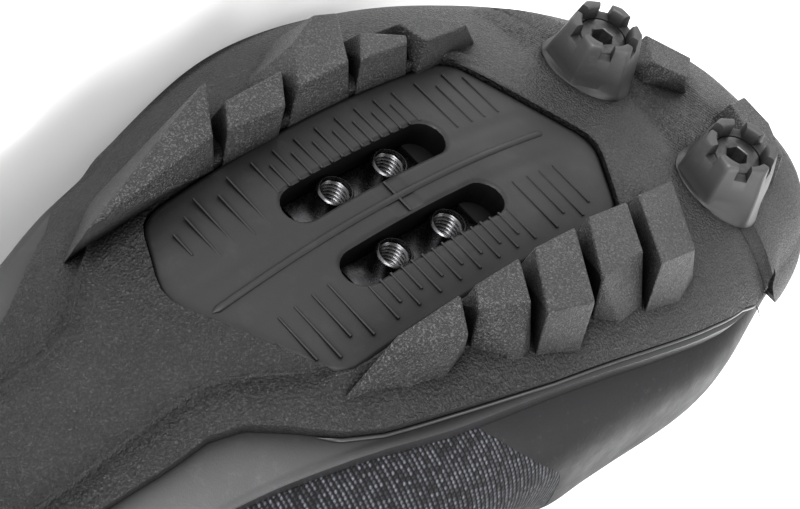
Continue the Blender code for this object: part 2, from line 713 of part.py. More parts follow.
def heel_plane(x):
    """The heel's lug tops lie on a plane that falls from the heel to the lugs at the ball."""
    return -LUG_HEIGHT + (HEEL_GROUND + LUG_HEIGHT) * x / (-0.56 * LAST_LENGTH)


def rooted(probe, x, y):
    """A foot point sunk a little way into the tread, straight in from (x, y)."""
    while probe(x, y) is None:
        y *= 0.98
    lower, upper = probe(x, y)
    return x, y, lower + min(LUG_ROOT, 0.3 * (upper - lower))


def subdivided(outline, longest=0.005):
    points = []
    for a, b in zip(outline, outline[1:] + outline[:1]):
        parts = max(1, round((Vector(b) - Vector(a)).length / longest))
        points += [tuple(Vector(a).lerp(Vector(b), k / parts)) for k in range(parts)]
    return points


def make_lugs(outsole, lugs_group):
    probe = surface_of(outsole)
    made = []

    def add(top, foot):
        feet = [rooted(probe, *place) for place in subdivided(foot)]
        made.append(lug_hull(f"lug_{len(made)}", top, feet, lugs_group))

    for lug in LUGS + TOE_LUGS:
        rise = TOE_LUG_HEIGHT if lug in TOE_LUGS else LUG_HEIGHT
        top = [(x * LAST_LENGTH, lug.side * y * BALL_WIDTH) for x, y in lug.top]
        foot = [(x * LAST_LENGTH, lug.side * y * BALL_WIDTH) for x, y in lug.foot]
        add([(x, y, lug_plane(x, rise)) for x, y in top], foot)
    for side in (INNER, OUTER):
        for row in HEEL_LUGS:
            top = [Vector((x * LAST_LENGTH, side * y * BALL_WIDTH)) for x, y in row]
            centre = sum(top, Vector((0.0, 0.0))) / len(top)
            foot = [tuple(place + (place - centre).normalized() * HEEL_LUG_SPREAD) for place in top]
            add([(*place, heel_plane(place.x)) for place in top], foot)
    return made


def stud_places():
    """Centres of the two toe studs in plan."""
    return {"outer": (0.2130 * LAST_LENGTH, -0.1043 * BALL_WIDTH), "inner": (0.2247 * LAST_LENGTH, 0.2337 * BALL_WIDTH)}


def make_stud(side, place, probe, parts, tools, surface):
    """A castellated stud: its foot follows the sole, its crown is cut into prongs."""
    sides = 16
    base = probe(*place)[0]
    crown = base - STUD_HEIGHT
    levels = (
        (STUD_BASE_RADIUS * 0.55, None), (STUD_BASE_RADIUS, None), (STUD_BASE_RADIUS * 0.93, 0.18),
        (STUD_TOP_RADIUS, 0.86), (STUD_TOP_RADIUS * 0.86, 1.0),
    )
    points = []
    for radius, share in levels:
        for k in range(sides):
            turn = 2 * math.pi * k / sides
            x, y = place[0] + radius * math.cos(turn), place[1] + radius * math.sin(turn)
            points.append((x, y, probe(x, y)[0] - GAP if share is None else base + (crown - base) * share))
    count = len(points)
    points.append((*place, base - GAP))
    faces = [(count, k, (k + 1) % sides) for k in range(sides)]
    faces.append(tuple(reversed(range(count - sides, count))))
    for level in range(len(levels) - 1):
        for k in range(sides):
            a, b = level * sides + k, level * sides + (k + 1) % sides
            faces.append((a, b, b + sides, a + sides))
    stud = mesh_object(f"toe_stud_{side}", points, faces, parts, surface)
    floor = crown + STUD_NOTCH_DEPTH
    cut(stud, cylinder(f"stud_bore_{side}", place, STUD_BORE_RADIUS, crown - 0.005, floor + SCREW_HEAD_HEIGHT, tools))
    for k in range(3):
        turn = math.pi * (k + 0.25) / 3
        along = Vector((math.cos(turn), math.sin(turn))) * STUD_BASE_RADIUS * 1.2
        wide = Vector((-math.sin(turn), math.cos(turn))) * STUD_NOTCH / 2
        middle = Vector(place)
        outline = [tuple(middle + a * along + b * wide) for a, b in ((-1, -1), (1, -1), (1, 1), (-1, 1))]
        cut(stud, prism(f"stud_notch_{side}_{k}", outline, "XY", crown - 0.005, floor, tools))
    return stud


def make_stud_screw(side, place, probe, parts, tools, surface):
    crown = probe(*place)[0] - STUD_HEIGHT
    head = crown + SCREW_SINK
    seat = crown + STUD_NOTCH_DEPTH + SCREW_HEAD_HEIGHT - GAP
    screw = cylinder(f"stud_screw_{side}", place, STUD_BORE_RADIUS - GAP, head, seat, parts, surface=surface)
    cut(screw, cylinder(f"screw_socket_{side}", place, SCREW_SOCKET, head - 0.005, head + 0.0028, tools, sides=6))
    return screw


def make_parts():
    clear_scene()
    parts = collection("cycling_shoe")
    tools = collection("cutters")
    lugs_group = collection("lugs")
    rubber = material("rubber", (0.035, 0.035, 0.036), 0.62)
    plastic = material("insert plastic", (0.03, 0.03, 0.031), 0.42)
    gloss = material("sole shell plastic", (0.05, 0.05, 0.052), 0.25)
    steel = material("blackened steel", (0.05, 0.05, 0.05), 0.25, 1.0)
    film = material("upper film and cloth", (0.045, 0.045, 0.048), 0.45)
    cloth = material("tongue cloth", (0.03, 0.03, 0.032), 0.8)
    hook = material("strap webbing", (0.028, 0.028, 0.03), 0.7)
    foam = material("insole foam", (0.06, 0.06, 0.065), 0.85)

    outsole = make_outsole(parts, rubber)
    probe = surface_of(outsole)
    lugs = make_lugs(outsole, lugs_group)
    join = outsole.modifiers.new("lugs", "BOOLEAN")
    join.operation = "UNION"
    join.operand_type = "COLLECTION"
    join.collection = lugs_group
    cut(outsole, prism("insert_window", insert_outline(GAP), "XY", -0.02, 0.03, tools))

    cut(outsole, side_trim("tread_cup", TREAD_CUP, tools))
    cut(outsole, side_trim("bumper_edge", BUMPER_EDGE, tools))
    shell = make_shell(parts, tools, gloss)
    cut(shell, nut_window_cutter(tools))
    make_insert(parts, tools, plastic)
    make_nut_plate(parts, tools, steel)
    for side, place in stud_places().items():
        make_stud(side, place, probe, parts, tools, plastic)
        make_stud_screw(side, place, probe, parts, tools, steel)
    make_upper(parts, tools, film)
    make_tongue(parts, cloth)
    for row in STRAPS:
        make_strap(row, parts, tools, hook)
    make_insole(parts, foam)
    for thing in list(tools.objects) + lugs:
        thing.hide_render = True
        thing.display_type = "WIRE"
    return parts, tools, lugs_group


def laying_turn(parts):
    """The turn that lays the shoe on its outer side, on the face of its hull where it rests
    steadily: one that its centre of mass stands over."""
    bpy.context.view_layer.update()
    graph = bpy.context.evaluated_depsgraph_get()
    points = []
    centre = Vector()
    total = 0.0
    for thing in parts.objects:
        mesh = thing.evaluated_get(graph).to_mesh()
        mesh.calc_loop_triangles()
        density = DENSITIES[thing.data.materials[0].name]
        points += [v.co.copy() for v in mesh.vertices]
        for triangle in mesh.loop_triangles:
            a, b, c = (mesh.vertices[k].co for k in triangle.vertices)
            weight = density * a.dot(b.cross(c)) / 6
            centre += weight * (a + b + c) / 4
            total += weight
        thing.evaluated_get(graph).to_mesh_clear()
    centre /= total
    work = bmesh.new()
    for point in points:
        work.verts.new(point)
    bmesh.ops.convex_hull(work, input=work.verts)
    bmesh.ops.recalc_face_normals(work, faces=work.faces)
    tree = BVHTree.FromBMesh(work)
    steady = []
    for face in work.faces:
        normal = face.normal.copy()
        met, hit_normal, _, _ = tree.ray_cast(centre, normal)
        if met is not None and hit_normal.dot(normal) > 0.99999 and face.calc_area() > 1e-7:
            steady.append((normal.y, tuple(normal)))
    work.free()
    down = Vector(min(steady)[1]).normalized()
    up = -down
    back = (Vector((-1, 0, 0)) - up * Vector((-1, 0, 0)).dot(up)).normalized()
    across = up.cross(back)
    turn = Matrix((back, across, up)).to_4x4()
    placed = [turn @ p for p in points]
    low = Vector([min(p[k] for p in placed) for k in range(3)])
    high = Vector([max(p[k] for p in placed) for k in range(3)])
    shift = Vector((-(low.x + high.x) / 2, -(low.y + high.y) / 2, -low.z))
    return Matrix.Translation(shift) @ turn


def lay_down(groups, turn):
    stand = bpy.data.objects.new("resting_frame", None)
    bpy.context.scene.collection.objects.link(stand)
    for group in groups:
        for thing in group.objects:
            thing.parent = stand
    stand.matrix_world = turn
    bpy.context.view_layer.update()


def main():
    groups = make_parts()
    lay_down(groups, laying_turn(groups[0]))


main()
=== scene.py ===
# A cycling shoe that lies on its outer side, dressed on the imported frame.
import math
import bpy, bmesh
import numpy as np
from mathutils import Vector, Matrix
from mathutils.bvhtree import BVHTree


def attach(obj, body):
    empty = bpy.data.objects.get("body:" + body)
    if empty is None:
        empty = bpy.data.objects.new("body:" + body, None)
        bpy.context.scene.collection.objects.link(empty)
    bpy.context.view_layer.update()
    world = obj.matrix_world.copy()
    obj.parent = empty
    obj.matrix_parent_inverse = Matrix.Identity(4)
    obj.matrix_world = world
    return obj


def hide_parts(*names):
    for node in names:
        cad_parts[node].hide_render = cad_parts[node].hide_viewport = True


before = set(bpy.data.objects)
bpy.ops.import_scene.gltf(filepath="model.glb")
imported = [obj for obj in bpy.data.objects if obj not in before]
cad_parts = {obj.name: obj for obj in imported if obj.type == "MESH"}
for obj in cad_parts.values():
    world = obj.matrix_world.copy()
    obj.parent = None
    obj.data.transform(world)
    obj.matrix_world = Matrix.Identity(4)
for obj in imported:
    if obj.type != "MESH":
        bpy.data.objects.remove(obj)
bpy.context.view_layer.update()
scene = bpy.context.scene

# Every piece is drawn in the last's own frame (X to the toe, Y to the inner side, Z up from the
# cleat face) and then laid down by this turn, as the frame's solids are.
laid = Matrix((
    (-0.997344673, 0.0727511868, -0.00328225968, -0.0415369831),
    (0.0, 0.0450703539, 0.998983681, -0.0566804186),
    (0.072825186, 0.996331215, -0.0449506752, 0.0462056324),
    (0.0, 0.0, 0.0, 1.0),
))

last = {
    "length": 0.283, "toTip": 0.102, "ball": 0.092, "heelLift": 0.0205, "toeSpring": 0.0192,
    "stack": 0.0085, "side": 0.050, "instep": 0.127, "gap": 0.00035, "lean": 0.0040,
    "toeRound": (0.435, 0.283, 2.2), "heelRound": (0.370, 0.100, 2.2),
    # station, inner, outer, heel, toe, stack, wide, top, over, under
    "sections": (
        (0.000, 0.326, 0.326, 1.070, 0.0, 1.35, 1.10, 0.913, 3.20, 2.60),
        (0.100, 0.353, 0.353, 0.940, 0.0, 1.55, 1.04, 0.953, 3.00, 2.80),
        (0.210, 0.353, 0.370, 1.000, 0.0, 1.35, 1.00, 1.000, 2.60, 2.70),
        (0.330, 0.364, 0.368, 0.990, 0.0, 0.94, 0.92, 0.969, 2.15, 2.50),
        (0.460, 0.413, 0.392, 0.500, 0.0, 0.82, 0.76, 0.787, 1.90, 2.40),
        (0.555, 0.472, 0.413, 0.120, 0.0, 0.965, 0.60, 0.638, 1.95, 2.80),
        (0.640, 0.493, 0.480, 0.000, 0.0, 1.00, 0.54, 0.543, 2.05, 3.20),
        (0.715, 0.496, 0.485, 0.000, 0.073, 1.00, 0.54, 0.480, 2.15, 3.40),
        (0.815, 0.480, 0.433, 0.000, 0.375, 0.965, 0.60, 0.441, 2.30, 3.40),
        (0.893, 0.412, 0.343, 0.000, 0.650, 0.94, 0.66, 0.421, 2.40, 3.20),
        (0.955, 0.402, 0.261, 0.000, 0.870, 0.94, 0.70, 0.394, 2.50, 3.00),
        (1.000, 0.365, 0.216, 0.000, 1.010, 0.94, 0.72, 0.370, 2.50, 3.00),
    ),
    # station, tread inner, tread outer, shell inner, shell outer
    "edges": (
        (0.000, 90, 90, 90, 90), (0.060, 90, 90, 90, 90), (0.100, 56, 56, 70, 70), (0.140, 55, 55, 66, 66),
        (0.190, 50, 50, 60, 60), (0.215, 32, 34, 57, 58), (0.240, 18, 19, 52, 55), (0.330, 17, 17, 38, 46),
        (0.400, 17, 19, 34, 44), (0.428, 17, 24, 33, 45), (0.445, 17, 28.5, 32.8, 47),
        (0.458, 16.6, 33, 32.8, 49), (0.475, 15.4, 40, 32.8, 54), (0.493, 16.6, 48, 33, 60),
        (0.510, 21, 59, 33.6, 66), (0.530, 27.0, 66, 34.5, 71), (0.550, 30.5, 69, 36, 74),
        (0.585, 34, 70, 40, 75), (0.650, 41.0, 68, 45.5, 73), (0.718, 46.5, 65, 52, 70),
        (0.785, 51, 62, 57, 67), (0.820, 54.5, 61.5, 60.5, 66.5), (0.840, 60, 64, 62, 66.5),
        (0.865, 180, 180, 64.5, 67), (1.000, 180, 180, 64.5, 67),
    ),
}
heelTip = last["toTip"] - last["length"]
names = "inner outer heel toe stack wide top over under".split()
columns = np.array(last["sections"]).T
edgeTable = np.array(last["edges"], float).T


# Natural cubic through the table's values.
def smoothCurve(xs, ys):
    spans, count = np.diff(xs), len(xs)
    slopes = np.diff(ys) / spans
    system, right = np.eye(count), np.zeros(count)
    for i in range(1, count - 1):
        system[i, i - 1:i + 2] = spans[i - 1], 2 * (spans[i - 1] + spans[i]), spans[i]
        right[i] = 6 * (slopes[i] - slopes[i - 1])
    bend = np.linalg.solve(system, right)

    def value(at):
        at = np.asarray(at, float)
        i = np.clip(np.searchsorted(xs, at) - 1, 0, count - 2)
        t = at - xs[i]
        start = slopes[i] - spans[i] * (2 * bend[i] + bend[i + 1]) / 6
        return ys[i] + t * start + t * t * bend[i] / 2 + t ** 3 * (bend[i + 1] - bend[i]) / (6 * spans[i])

    return value


curves = {name: smoothCurve(columns[0], columns[k + 1]) for k, name in enumerate(names)}


def step(value):
    t = np.clip(value, 0.0, 1.0)
    return t * t * (3 - 2 * t)


# How the last closes in at toe and heel, in plan (view 0) or seen from the side (view 1).
def ending(s, view):
    result = 1.0
    for tip, row in ((1.0, last["toeRound"]), (0.0, last["heelRound"])):
        reach = row[view] * last["ball"] / last["length"]
        t = np.clip(1 - np.abs(tip - s) / reach, 0.0, 1.0)
        result = result * (1 - t ** row[2]) ** (1 / row[2])
    return result


def treadHeight(s):
    return last["heelLift"] * curves["heel"](s) + last["toeSpring"] * curves["toe"](s)


# A point of the last: s runs from heel to toe, and a goes round the section in degrees from
# underneath, above zero on the inner side.
def lastPoint(s, a):
    s, a = np.broadcast_arrays(np.asarray(s, float), np.asarray(a, float))
    at = {k: c(s) for k, c in curves.items()}
    middle = last["ball"] * (at["inner"] - at["outer"]) / 2
    half = last["ball"] * (at["inner"] + at["outer"]) / 2 * ending(s, 0)
    bed = treadHeight(s) + last["stack"] * at["stack"]
    wide, top = last["side"] * at["wide"], last["instep"] * at["top"]
    turn = np.radians(np.minimum(np.abs(a), 180))
    below = np.abs(a) < 90
    power = 2 / np.where(below, at["under"], at["over"])
    across = np.sign(a) * np.maximum(np.sin(turn), 0.0) ** power
    reach = np.abs(np.cos(turn)) ** power * ending(s, 1)
    z = np.where(below, wide - (wide - bed) * reach, wide + (top - wide) * reach)
    lean = last["lean"] * ((z - last["side"]) / (last["side"] / 2)) ** 2 * np.exp(-((s / 0.15) ** 2))
    return np.stack([heelTip + last["length"] * s + lean, middle + half * across, z], -1)


def lastNormal(s, a):
    s, a = np.broadcast_arrays(np.asarray(s, float), np.asarray(a, float))
    share = np.arccos(np.clip(1 - 2 * s, -1, 1)) / math.pi
    ahead = (1 - np.cos(math.pi * np.minimum(share + 1e-4, 1))) / 2
    behind = (1 - np.cos(math.pi * np.maximum(share - 1e-4, 0))) / 2
    along = lastPoint(ahead, a) - lastPoint(behind, a)
    edge = np.clip(a, -179.95, 179.95)
    around = lastPoint(s, edge + 0.05) - lastPoint(s, edge - 0.05)
    normal = np.cross(around, along)
    size = np.linalg.norm(normal, axis=-1, keepdims=True)
    tip = np.stack([np.where(s > 0.5, 1.0, -1.0), 0 * s, 0 * s], -1)
    return np.where(size < 1e-12, tip, normal / np.maximum(size, 1e-12))


def edgeAngle(column, s):
    return np.interp(s, edgeTable[0], edgeTable[column])


# Angles that split each section between two edges into equal lengths of skin.
def rowAngles(s, low, high, count):
    s = np.asarray(s, float)
    low, high = np.broadcast_to(low, s.shape), np.broadcast_to(high, s.shape)
    fine = low[:, None] + (high - low)[:, None] * np.linspace(0, 1, 500)[None, :]
    points = lastPoint(s[:, None], fine)
    steps = np.linalg.norm(np.diff(points, axis=1), axis=-1) + 1e-6
    length = np.concatenate([np.zeros((len(s), 1)), np.cumsum(steps, 1)], 1)
    rows = [np.interp(np.linspace(0, length[k, -1], count), length[k], fine[k]) for k in range(len(s))]
    return np.array(rows)


# Stations at a fine pitch under the ball and at a coarser one elsewhere, close at the tips.
def stationRow(first, end, fine, coarse):
    xs = [first]
    while xs[-1] < end:
        s = xs[-1]
        pitch = fine if 0.37 < s < 0.94 else coarse
        near = max(min(s, 1 - s), 0.0008)
        xs.append(s + min(pitch / last["length"], 0.004 + near * 0.25, max(near * 0.5, 0.0012)))
    xs[-1] = end
    return np.array(xs)


def rowCount(count):
    return count // 1


# Grows from a least value to 1 within so many rows of both ends.
def fromEnds(count, rows, least=0.0):
    near = np.minimum(np.arange(count), np.arange(count)[::-1])
    return np.minimum(1, near / rows + least)


def unit(vectors):
    return vectors / np.linalg.norm(vectors, axis=1)[:, None]


# Merges doubles, drops what has no area and turns the faces outwards.
def cleanUp(mesh, merge=3e-6):
    work = bmesh.new()
    work.from_mesh(mesh)
    bmesh.ops.remove_doubles(work, verts=work.verts, dist=merge)
    bmesh.ops.dissolve_degenerate(work, edges=work.edges, dist=1e-6)
    bmesh.ops.recalc_face_normals(work, faces=work.faces)
    work.to_mesh(mesh)
    work.free()


# Point numbers of a grid, and the faces between them.
def gridFaces(n, m):
    index = np.arange(n * m).reshape(n, m)
    faces = np.stack([index[:-1, :-1], index[:-1, 1:], index[1:, 1:], index[1:, :-1]], -1)
    return index, faces.reshape(-1, 4)


# Gives every corner of a mesh its point's place on a flat map.
def mapOn(mesh, flat):
    corners = np.empty(len(mesh.loops), np.int32)
    mesh.loops.foreach_get("vertex_index", corners)
    layer = mesh.uv_layers.new(name="surface")
    layer.data.foreach_set("uv", flat.reshape(-1, 2)[corners].ravel())


# A closed sheet between two grids of points.
def shellMesh(name, outer, inner, uv=None):
    n, m = outer.shape[:2]
    index, face = gridFaces(n, m)
    faces = [face, face[:, ::-1] + n * m]
    for rim in (index[0], index[-1][::-1], index[::-1, 0], index[:, -1]):
        faces.append(np.stack([rim[1:], rim[:-1], rim[:-1] + n * m, rim[1:] + n * m], -1))
    points = np.concatenate([outer.reshape(-1, 3), inner.reshape(-1, 3)])
    mesh = bpy.data.meshes.new(name)
    mesh.from_pydata(points.tolist(), [], np.concatenate(faces).tolist())
    if uv is not None:
        mapOn(mesh, np.concatenate([uv.reshape(-1, 2)] * 2))
    cleanUp(mesh)
    return mesh


# Rings of points as one skin, closed by a face at both ends or by a band from the last to the first.
def ringMesh(name, rings, capped=True, uv=None):
    rings = np.array(rings)
    index, faces = gridFaces(*rings.shape[:2])
    if capped:
        closing = [index[0, :-1][::-1].tolist(), index[-1, :-1].tolist()]
    else:
        closing = np.stack([index[-1, :-1], index[-1, 1:], index[0, 1:], index[0, :-1]], -1).tolist()
    mesh = bpy.data.meshes.new(name)
    mesh.from_pydata(rings.reshape(-1, 3).tolist(), [], faces.tolist() + closing)
    if uv is not None:
        mapOn(mesh, uv)
    cleanUp(mesh, 1e-6)
    return mesh


def ringAt(x, y, radius, z, angles):
    return np.stack([x + radius * np.cos(angles), y + radius * np.sin(angles), z + 0 * angles], -1)


# Rings of an oval tube along a line, tapered at its ends.
def tubeRings(line, sideways, above, wide, tall, turn, taper):
    across = wide * np.cos(turn)[None, :, None] * sideways[:, None]
    up = tall * np.sin(turn)[None, :, None] * above[:, None]
    return line[:, None] + taper[:, None, None] * (across + up)


def roundOutline(x, y, radius, count, start=0.0):
    turns = [start + 2 * math.pi * k / count for k in range(count)]
    return [(x + radius * math.cos(t), y + radius * math.sin(t)) for t in turns]


fourCorners = ((-1, -1), (1, -1), (1, 1), (-1, 1))


# A straight block over an outline in the XY or the XZ plane, from low to high.
def prismMesh(outline, plane, low, high):
    count = len(outline)
    points = [(a, b, z) if plane == "XY" else (a, z, b) for z in (low, high) for a, b in outline]
    faces = [tuple(range(count)), tuple(reversed(range(count, 2 * count)))]
    faces += [(i, (i + 1) % count, count + (i + 1) % count, count + i) for i in range(count)]
    mesh = bpy.data.meshes.new("cutter")
    mesh.from_pydata(points, [], faces)
    cleanUp(mesh)
    return mesh


def evaluated(thing):
    return bpy.data.meshes.new_from_object(thing.evaluated_get(bpy.context.evaluated_depsgraph_get()))


# The mesh with a live modifier applied.
def baked(mesh, kind, **settings):
    thing = bpy.data.objects.new("work", mesh)
    scene.collection.objects.link(thing)
    change = thing.modifiers.new("work", kind)
    for key, value in settings.items():
        setattr(change, key, value)
    result = evaluated(thing)
    bpy.data.objects.remove(thing)
    return result


def carve(mesh, cutter, operation="DIFFERENCE"):
    knife = bpy.data.objects.new("cutter", cutter)
    scene.collection.objects.link(knife)
    result = baked(mesh, "BOOLEAN", operation=operation, object=knife, solver="EXACT")
    bpy.data.objects.remove(knife)
    return result


def bevelled(mesh, width, segments, sharper=math.radians(30)):
    return baked(mesh, "BEVEL", width=width, segments=segments, limit_method="ANGLE", angle_limit=sharper)


# One mesh of several, which keeps their shares of one UV map and their points' attributes.
def joined(meshes, name):
    work = bmesh.new()
    for mesh in meshes:
        work.from_mesh(mesh)
    result = bpy.data.meshes.new(name)
    work.to_mesh(result)
    work.free()
    return result


def mark(mesh, name, values):
    layer = mesh.attributes.get(name) or mesh.attributes.new(name, "FLOAT", "POINT")
    layer.data.foreach_set("value", np.asarray(values, np.float32))


def pointsOf(mesh):
    flat = np.empty(len(mesh.vertices) * 3)
    mesh.vertices.foreach_get("co", flat)
    return flat.reshape(-1, 3)


# Lays a finished mesh down on the frame as a piece of its own.
def place(name, mesh, material, replaced=(), slot=None, sharp=32, lining=None):
    mesh.materials.clear()
    mesh.materials.append(material)
    if lining:
        mesh.materials.append(lining)
    mesh.transform(laid)
    mesh.shade_smooth()
    mesh.set_sharp_from_angle(angle=math.radians(sharp))
    piece = bpy.data.objects.new(name, mesh)
    scene.collection.objects.link(piece)
    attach(piece, "root")
    if replaced:
        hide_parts(*replaced)
    mesh.calc_loop_triangles()
    print(name, len(mesh.loop_triangles), "triangles")
    return piece


# Finishes, with short helpers for their nodes first.
def newMaterial(name, colour, roughness, **sockets):
    made = bpy.data.materials.new(name)
    made.use_nodes = True
    shader = made.node_tree.nodes["Principled BSDF"]
    shader.inputs["Base Color"].default_value = (*colour, 1)
    shader.inputs["Roughness"].default_value = roughness
    for key, value in sockets.items():
        shader.inputs[key.replace("_", " ")].default_value = value
    return made, made.node_tree, shader


def node(tree, kind, inputs=None, **settings):
    made = tree.nodes.new(kind)
    for key, value in settings.items():
        setattr(made, key, value)
    for key, value in (inputs or {}).items():
        if isinstance(value, bpy.types.NodeSocket):
            tree.links.new(value, made.inputs[key])
        else:
            made.inputs[key].default_value = value
    return made


def maths(tree, operation, a, b=0.0):
    return node(tree, "ShaderNodeMath", {0: a, 1: b}, operation=operation).outputs[0]


def times(tree, a, b):
    return maths(tree, "MULTIPLY", a, b)


def plus(tree, a, b):
    return maths(tree, "ADD", a, b)


def between(tree, value, low, high, toLow, toHigh):
    made = node(tree, "ShaderNodeMapRange", {"Value": value, "From Min": low, "From Max": high,
                                             "To Min": toLow, "To Max": toHigh})
    return made.outputs[0]


def blended(tree, share, a, b):
    made = node(tree, "ShaderNodeMix", {"Factor": share}, data_type="RGBA")
    for key, value in ((6, a), (7, b)):
        if isinstance(value, bpy.types.NodeSocket):
            tree.links.new(value, made.inputs[key])
        else:
            made.inputs[key].default_value = (*value, 1)
    return made.outputs[2]


def objectPlace(tree):
    return node(tree, "ShaderNodeTexCoord").outputs["Object"]


def attribute(tree, name):
    return node(tree, "ShaderNodeAttribute", attribute_name=name).outputs["Fac"]


def noise(tree, scale, detail=2.0, roughness=0.5, place=None):
    made = node(tree, "ShaderNodeTexNoise", {"Vector": place or objectPlace(tree), "Scale": scale,
                                             "Detail": detail, "Roughness": roughness})
    return made.outputs["Fac"]


def softCells(tree, scale, place):
    inputs = {"Vector": place, "Scale": scale, "Randomness": 1.0}
    return node(tree, "ShaderNodeTexVoronoi", inputs, feature="SMOOTH_F1").outputs["Distance"]


def raised(tree, shader, height, strength, depth, under=None):
    made = node(tree, "ShaderNodeBump", {"Height": height, "Strength": strength, "Distance": depth})
    if under is not None:
        tree.links.new(under, made.inputs["Normal"])
    tree.links.new(made.outputs[0], shader.inputs["Normal"])
    return made.outputs[0]


# Painted shade in crevices: the colour and the specular level follow the open sky, so hollows are painted
# near black and lose their shine.
def paintedCreviceShade(tree, shader, tone, distance, power, level):
    sky = node(tree, "ShaderNodeAmbientOcclusion", {"Distance": distance}, samples=8).outputs["AO"]
    share = maths(tree, "POWER", sky, power)
    tree.links.new(blended(tree, share, (0.0008, 0.0008, 0.0008), tone), shader.inputs["Base Color"])
    tree.links.new(times(tree, share, level), shader.inputs["Specular IOR Level"])


def flatMap(tree):
    return node(tree, "ShaderNodeUVMap", uv_map="surface").outputs[0]


def waves(tree, scale, direction):
    inputs = {"Vector": flatMap(tree), "Scale": scale, "Distortion": 0.0}
    return node(tree, "ShaderNodeTexWave", inputs, bands_direction=direction).outputs["Fac"]


rubber = {
    # pale is the colour of the specks, which partly stand in as painted glints
    "colour": (0.0065, 0.0065, 0.007), "pale": (0.115, 0.115, 0.117), "roughness": 0.5, "specular": 0.42,
    # pit is the colour painted as shade in the grooves of the wrinkles
    "dust": (0.05, 0.048, 0.046), "pit": (0.003, 0.003, 0.003),
    "sand": 3600, "wrinkle": 2300, "depth": 0.0009, "rib": 0.00085,
}


def rubberFinish():
    made, tree, shader = newMaterial("rubber", rubber["colour"], rubber["roughness"], IOR=1.5)
    shader.inputs["Specular IOR Level"].default_value = rubber["specular"]
    where, grain = objectPlace(tree), attribute(tree, "grain")
    # sandy all over, and wrinkled like hide between the lugs
    sand = noise(tree, rubber["sand"], 2.5, 0.65, where)
    warp = node(tree, "ShaderNodeTexNoise", {"Vector": where, "Scale": 700.0, "Detail": 1.0})
    shifted = node(tree, "ShaderNodeVectorMath", {0: warp.outputs["Color"], 1: (0.0003, 0.0003, 0.0003)},
                   operation="MULTIPLY")
    bent = node(tree, "ShaderNodeVectorMath", {0: where, 1: shifted.outputs[0]}, operation="ADD").outputs[0]
    hide = softCells(tree, rubber["wrinkle"], bent)
    folds = noise(tree, 900, 3, 0.6, bent)
    leather = plus(tree, times(tree, hide, -1.1), times(tree, folds, 0.9))
    height = plus(tree, times(tree, sand, 1.05), times(tree, leather, grain))
    # fine beaded ribs at the toe
    pitch = 0.314 / rubber["rib"]
    beaded = plus(tree, waves(tree, pitch, "Y"), times(tree, waves(tree, pitch * 1.5, "X"), 0.35))
    ribbed = times(tree, beaded, times(tree, attribute(tree, "rib"), 1.6))
    first = raised(tree, shader, ribbed, 1.0, 0.0005)
    raised(tree, shader, height, 0.85, rubber["depth"], first)
    # pale specks, which also stand in as painted glints of the grain, dark pits painted as shade in the
    # grooves of the wrinkles, and a thin veil of dust
    fleckAndGlint = between(tree, noise(tree, 3100, 2, 0.65, where), 0.50, 0.70, 0, 1)
    tone = blended(tree, times(tree, fleckAndGlint, between(tree, grain, 0.1, 1.0, 0.74, 0.40)), rubber["colour"],
                   rubber["pale"])
    # painted shade: the grooves between the hide's cells are darkened
    pitShade = times(tree, between(tree, hide, 0.2, 0.5, 0, 1), times(tree, grain, 0.95))
    tone = blended(tree, pitShade, tone, rubber["pit"])
    dust = between(tree, noise(tree, 55, 4, 0.65, where), 0.42, 0.72, 0, 1)
    tone = blended(tree, times(tree, dust, 0.12), tone, rubber["dust"])
    # painted shade: the rubber's crevices and the gaps between the lugs are darkened
    paintedCreviceShade(tree, shader, tone, 0.0038, 1.7, 0.40)
    rough = between(tree, noise(tree, 2600, 3, 0.6, where), 0.3, 0.7, 0.34, 0.62)
    tree.links.new(rough, shader.inputs["Roughness"])
    return made


def plasticFinish(name, colour, low, high, depth, coat, level):
    made, tree, shader = newMaterial(name, colour, low, Coat_Weight=coat, Coat_Roughness=0.2)
    where = objectPlace(tree)
    fine = noise(tree, 4200, 2, 0.6, where)
    slow = noise(tree, 90, 3, 0.55, where)
    raised(tree, shader, plus(tree, fine, times(tree, slow, 2.0)), 0.35, depth)
    tree.links.new(between(tree, slow, 0.3, 0.7, low, high), shader.inputs["Roughness"])
    dust = between(tree, noise(tree, 260, 5, 0.7, where), 0.55, 0.78, 0, 0.35)
    pale = tuple(min(c * 2.6 + 0.01, 1) for c in colour)
    # painted shade: hollows such as the walls of the slots are darkened, over the real pale dust
    paintedCreviceShade(tree, shader, blended(tree, dust, colour, pale), 0.009, 1.6, level)
    return made


def metalFinish(name, colour, roughness):
    made, tree, shader = newMaterial(name, colour, roughness, Metallic=1.0)
    where = objectPlace(tree)
    marks = noise(tree, 2600, 4, 0.7, where)
    raised(tree, shader, marks, 0.25, 0.00005)
    rough = between(tree, marks, 0.3, 0.7, roughness * 0.75, roughness * 1.4)
    tree.links.new(rough, shader.inputs["Roughness"])
    worn = between(tree, noise(tree, 700, 3, 0.6, where), 0.4, 0.7, 0, 0.6)
    tone = blended(tree, worn, colour, tuple(c * 0.45 for c in colour))
    tree.links.new(tone, shader.inputs["Base Color"])
    return made


film = {"colour": (0.0115, 0.0115, 0.0122), "pale": (0.06, 0.06, 0.064), "roughness": 0.58, "specular": 0.10}


def filmFinish():
    made, tree, shader = newMaterial("film", film["colour"], film["roughness"])
    shader.inputs["Specular IOR Level"].default_value = film["specular"]
    where = objectPlace(tree)
    peel = noise(tree, 1500, 2, 0.5, where)
    lines = noise(tree, 210, 5, 0.62, where)
    raised(tree, shader, plus(tree, peel, times(tree, lines, 1.4)), 0.3, 0.00012)
    tree.links.new(between(tree, lines, 0.3, 0.7, 0.46, 0.60), shader.inputs["Roughness"])
    dust = between(tree, noise(tree, 900, 4, 0.75, where), 0.6, 0.8, 0, 0.5)
    tree.links.new(blended(tree, dust, film["colour"], film["pale"]), shader.inputs["Base Color"])
    return made
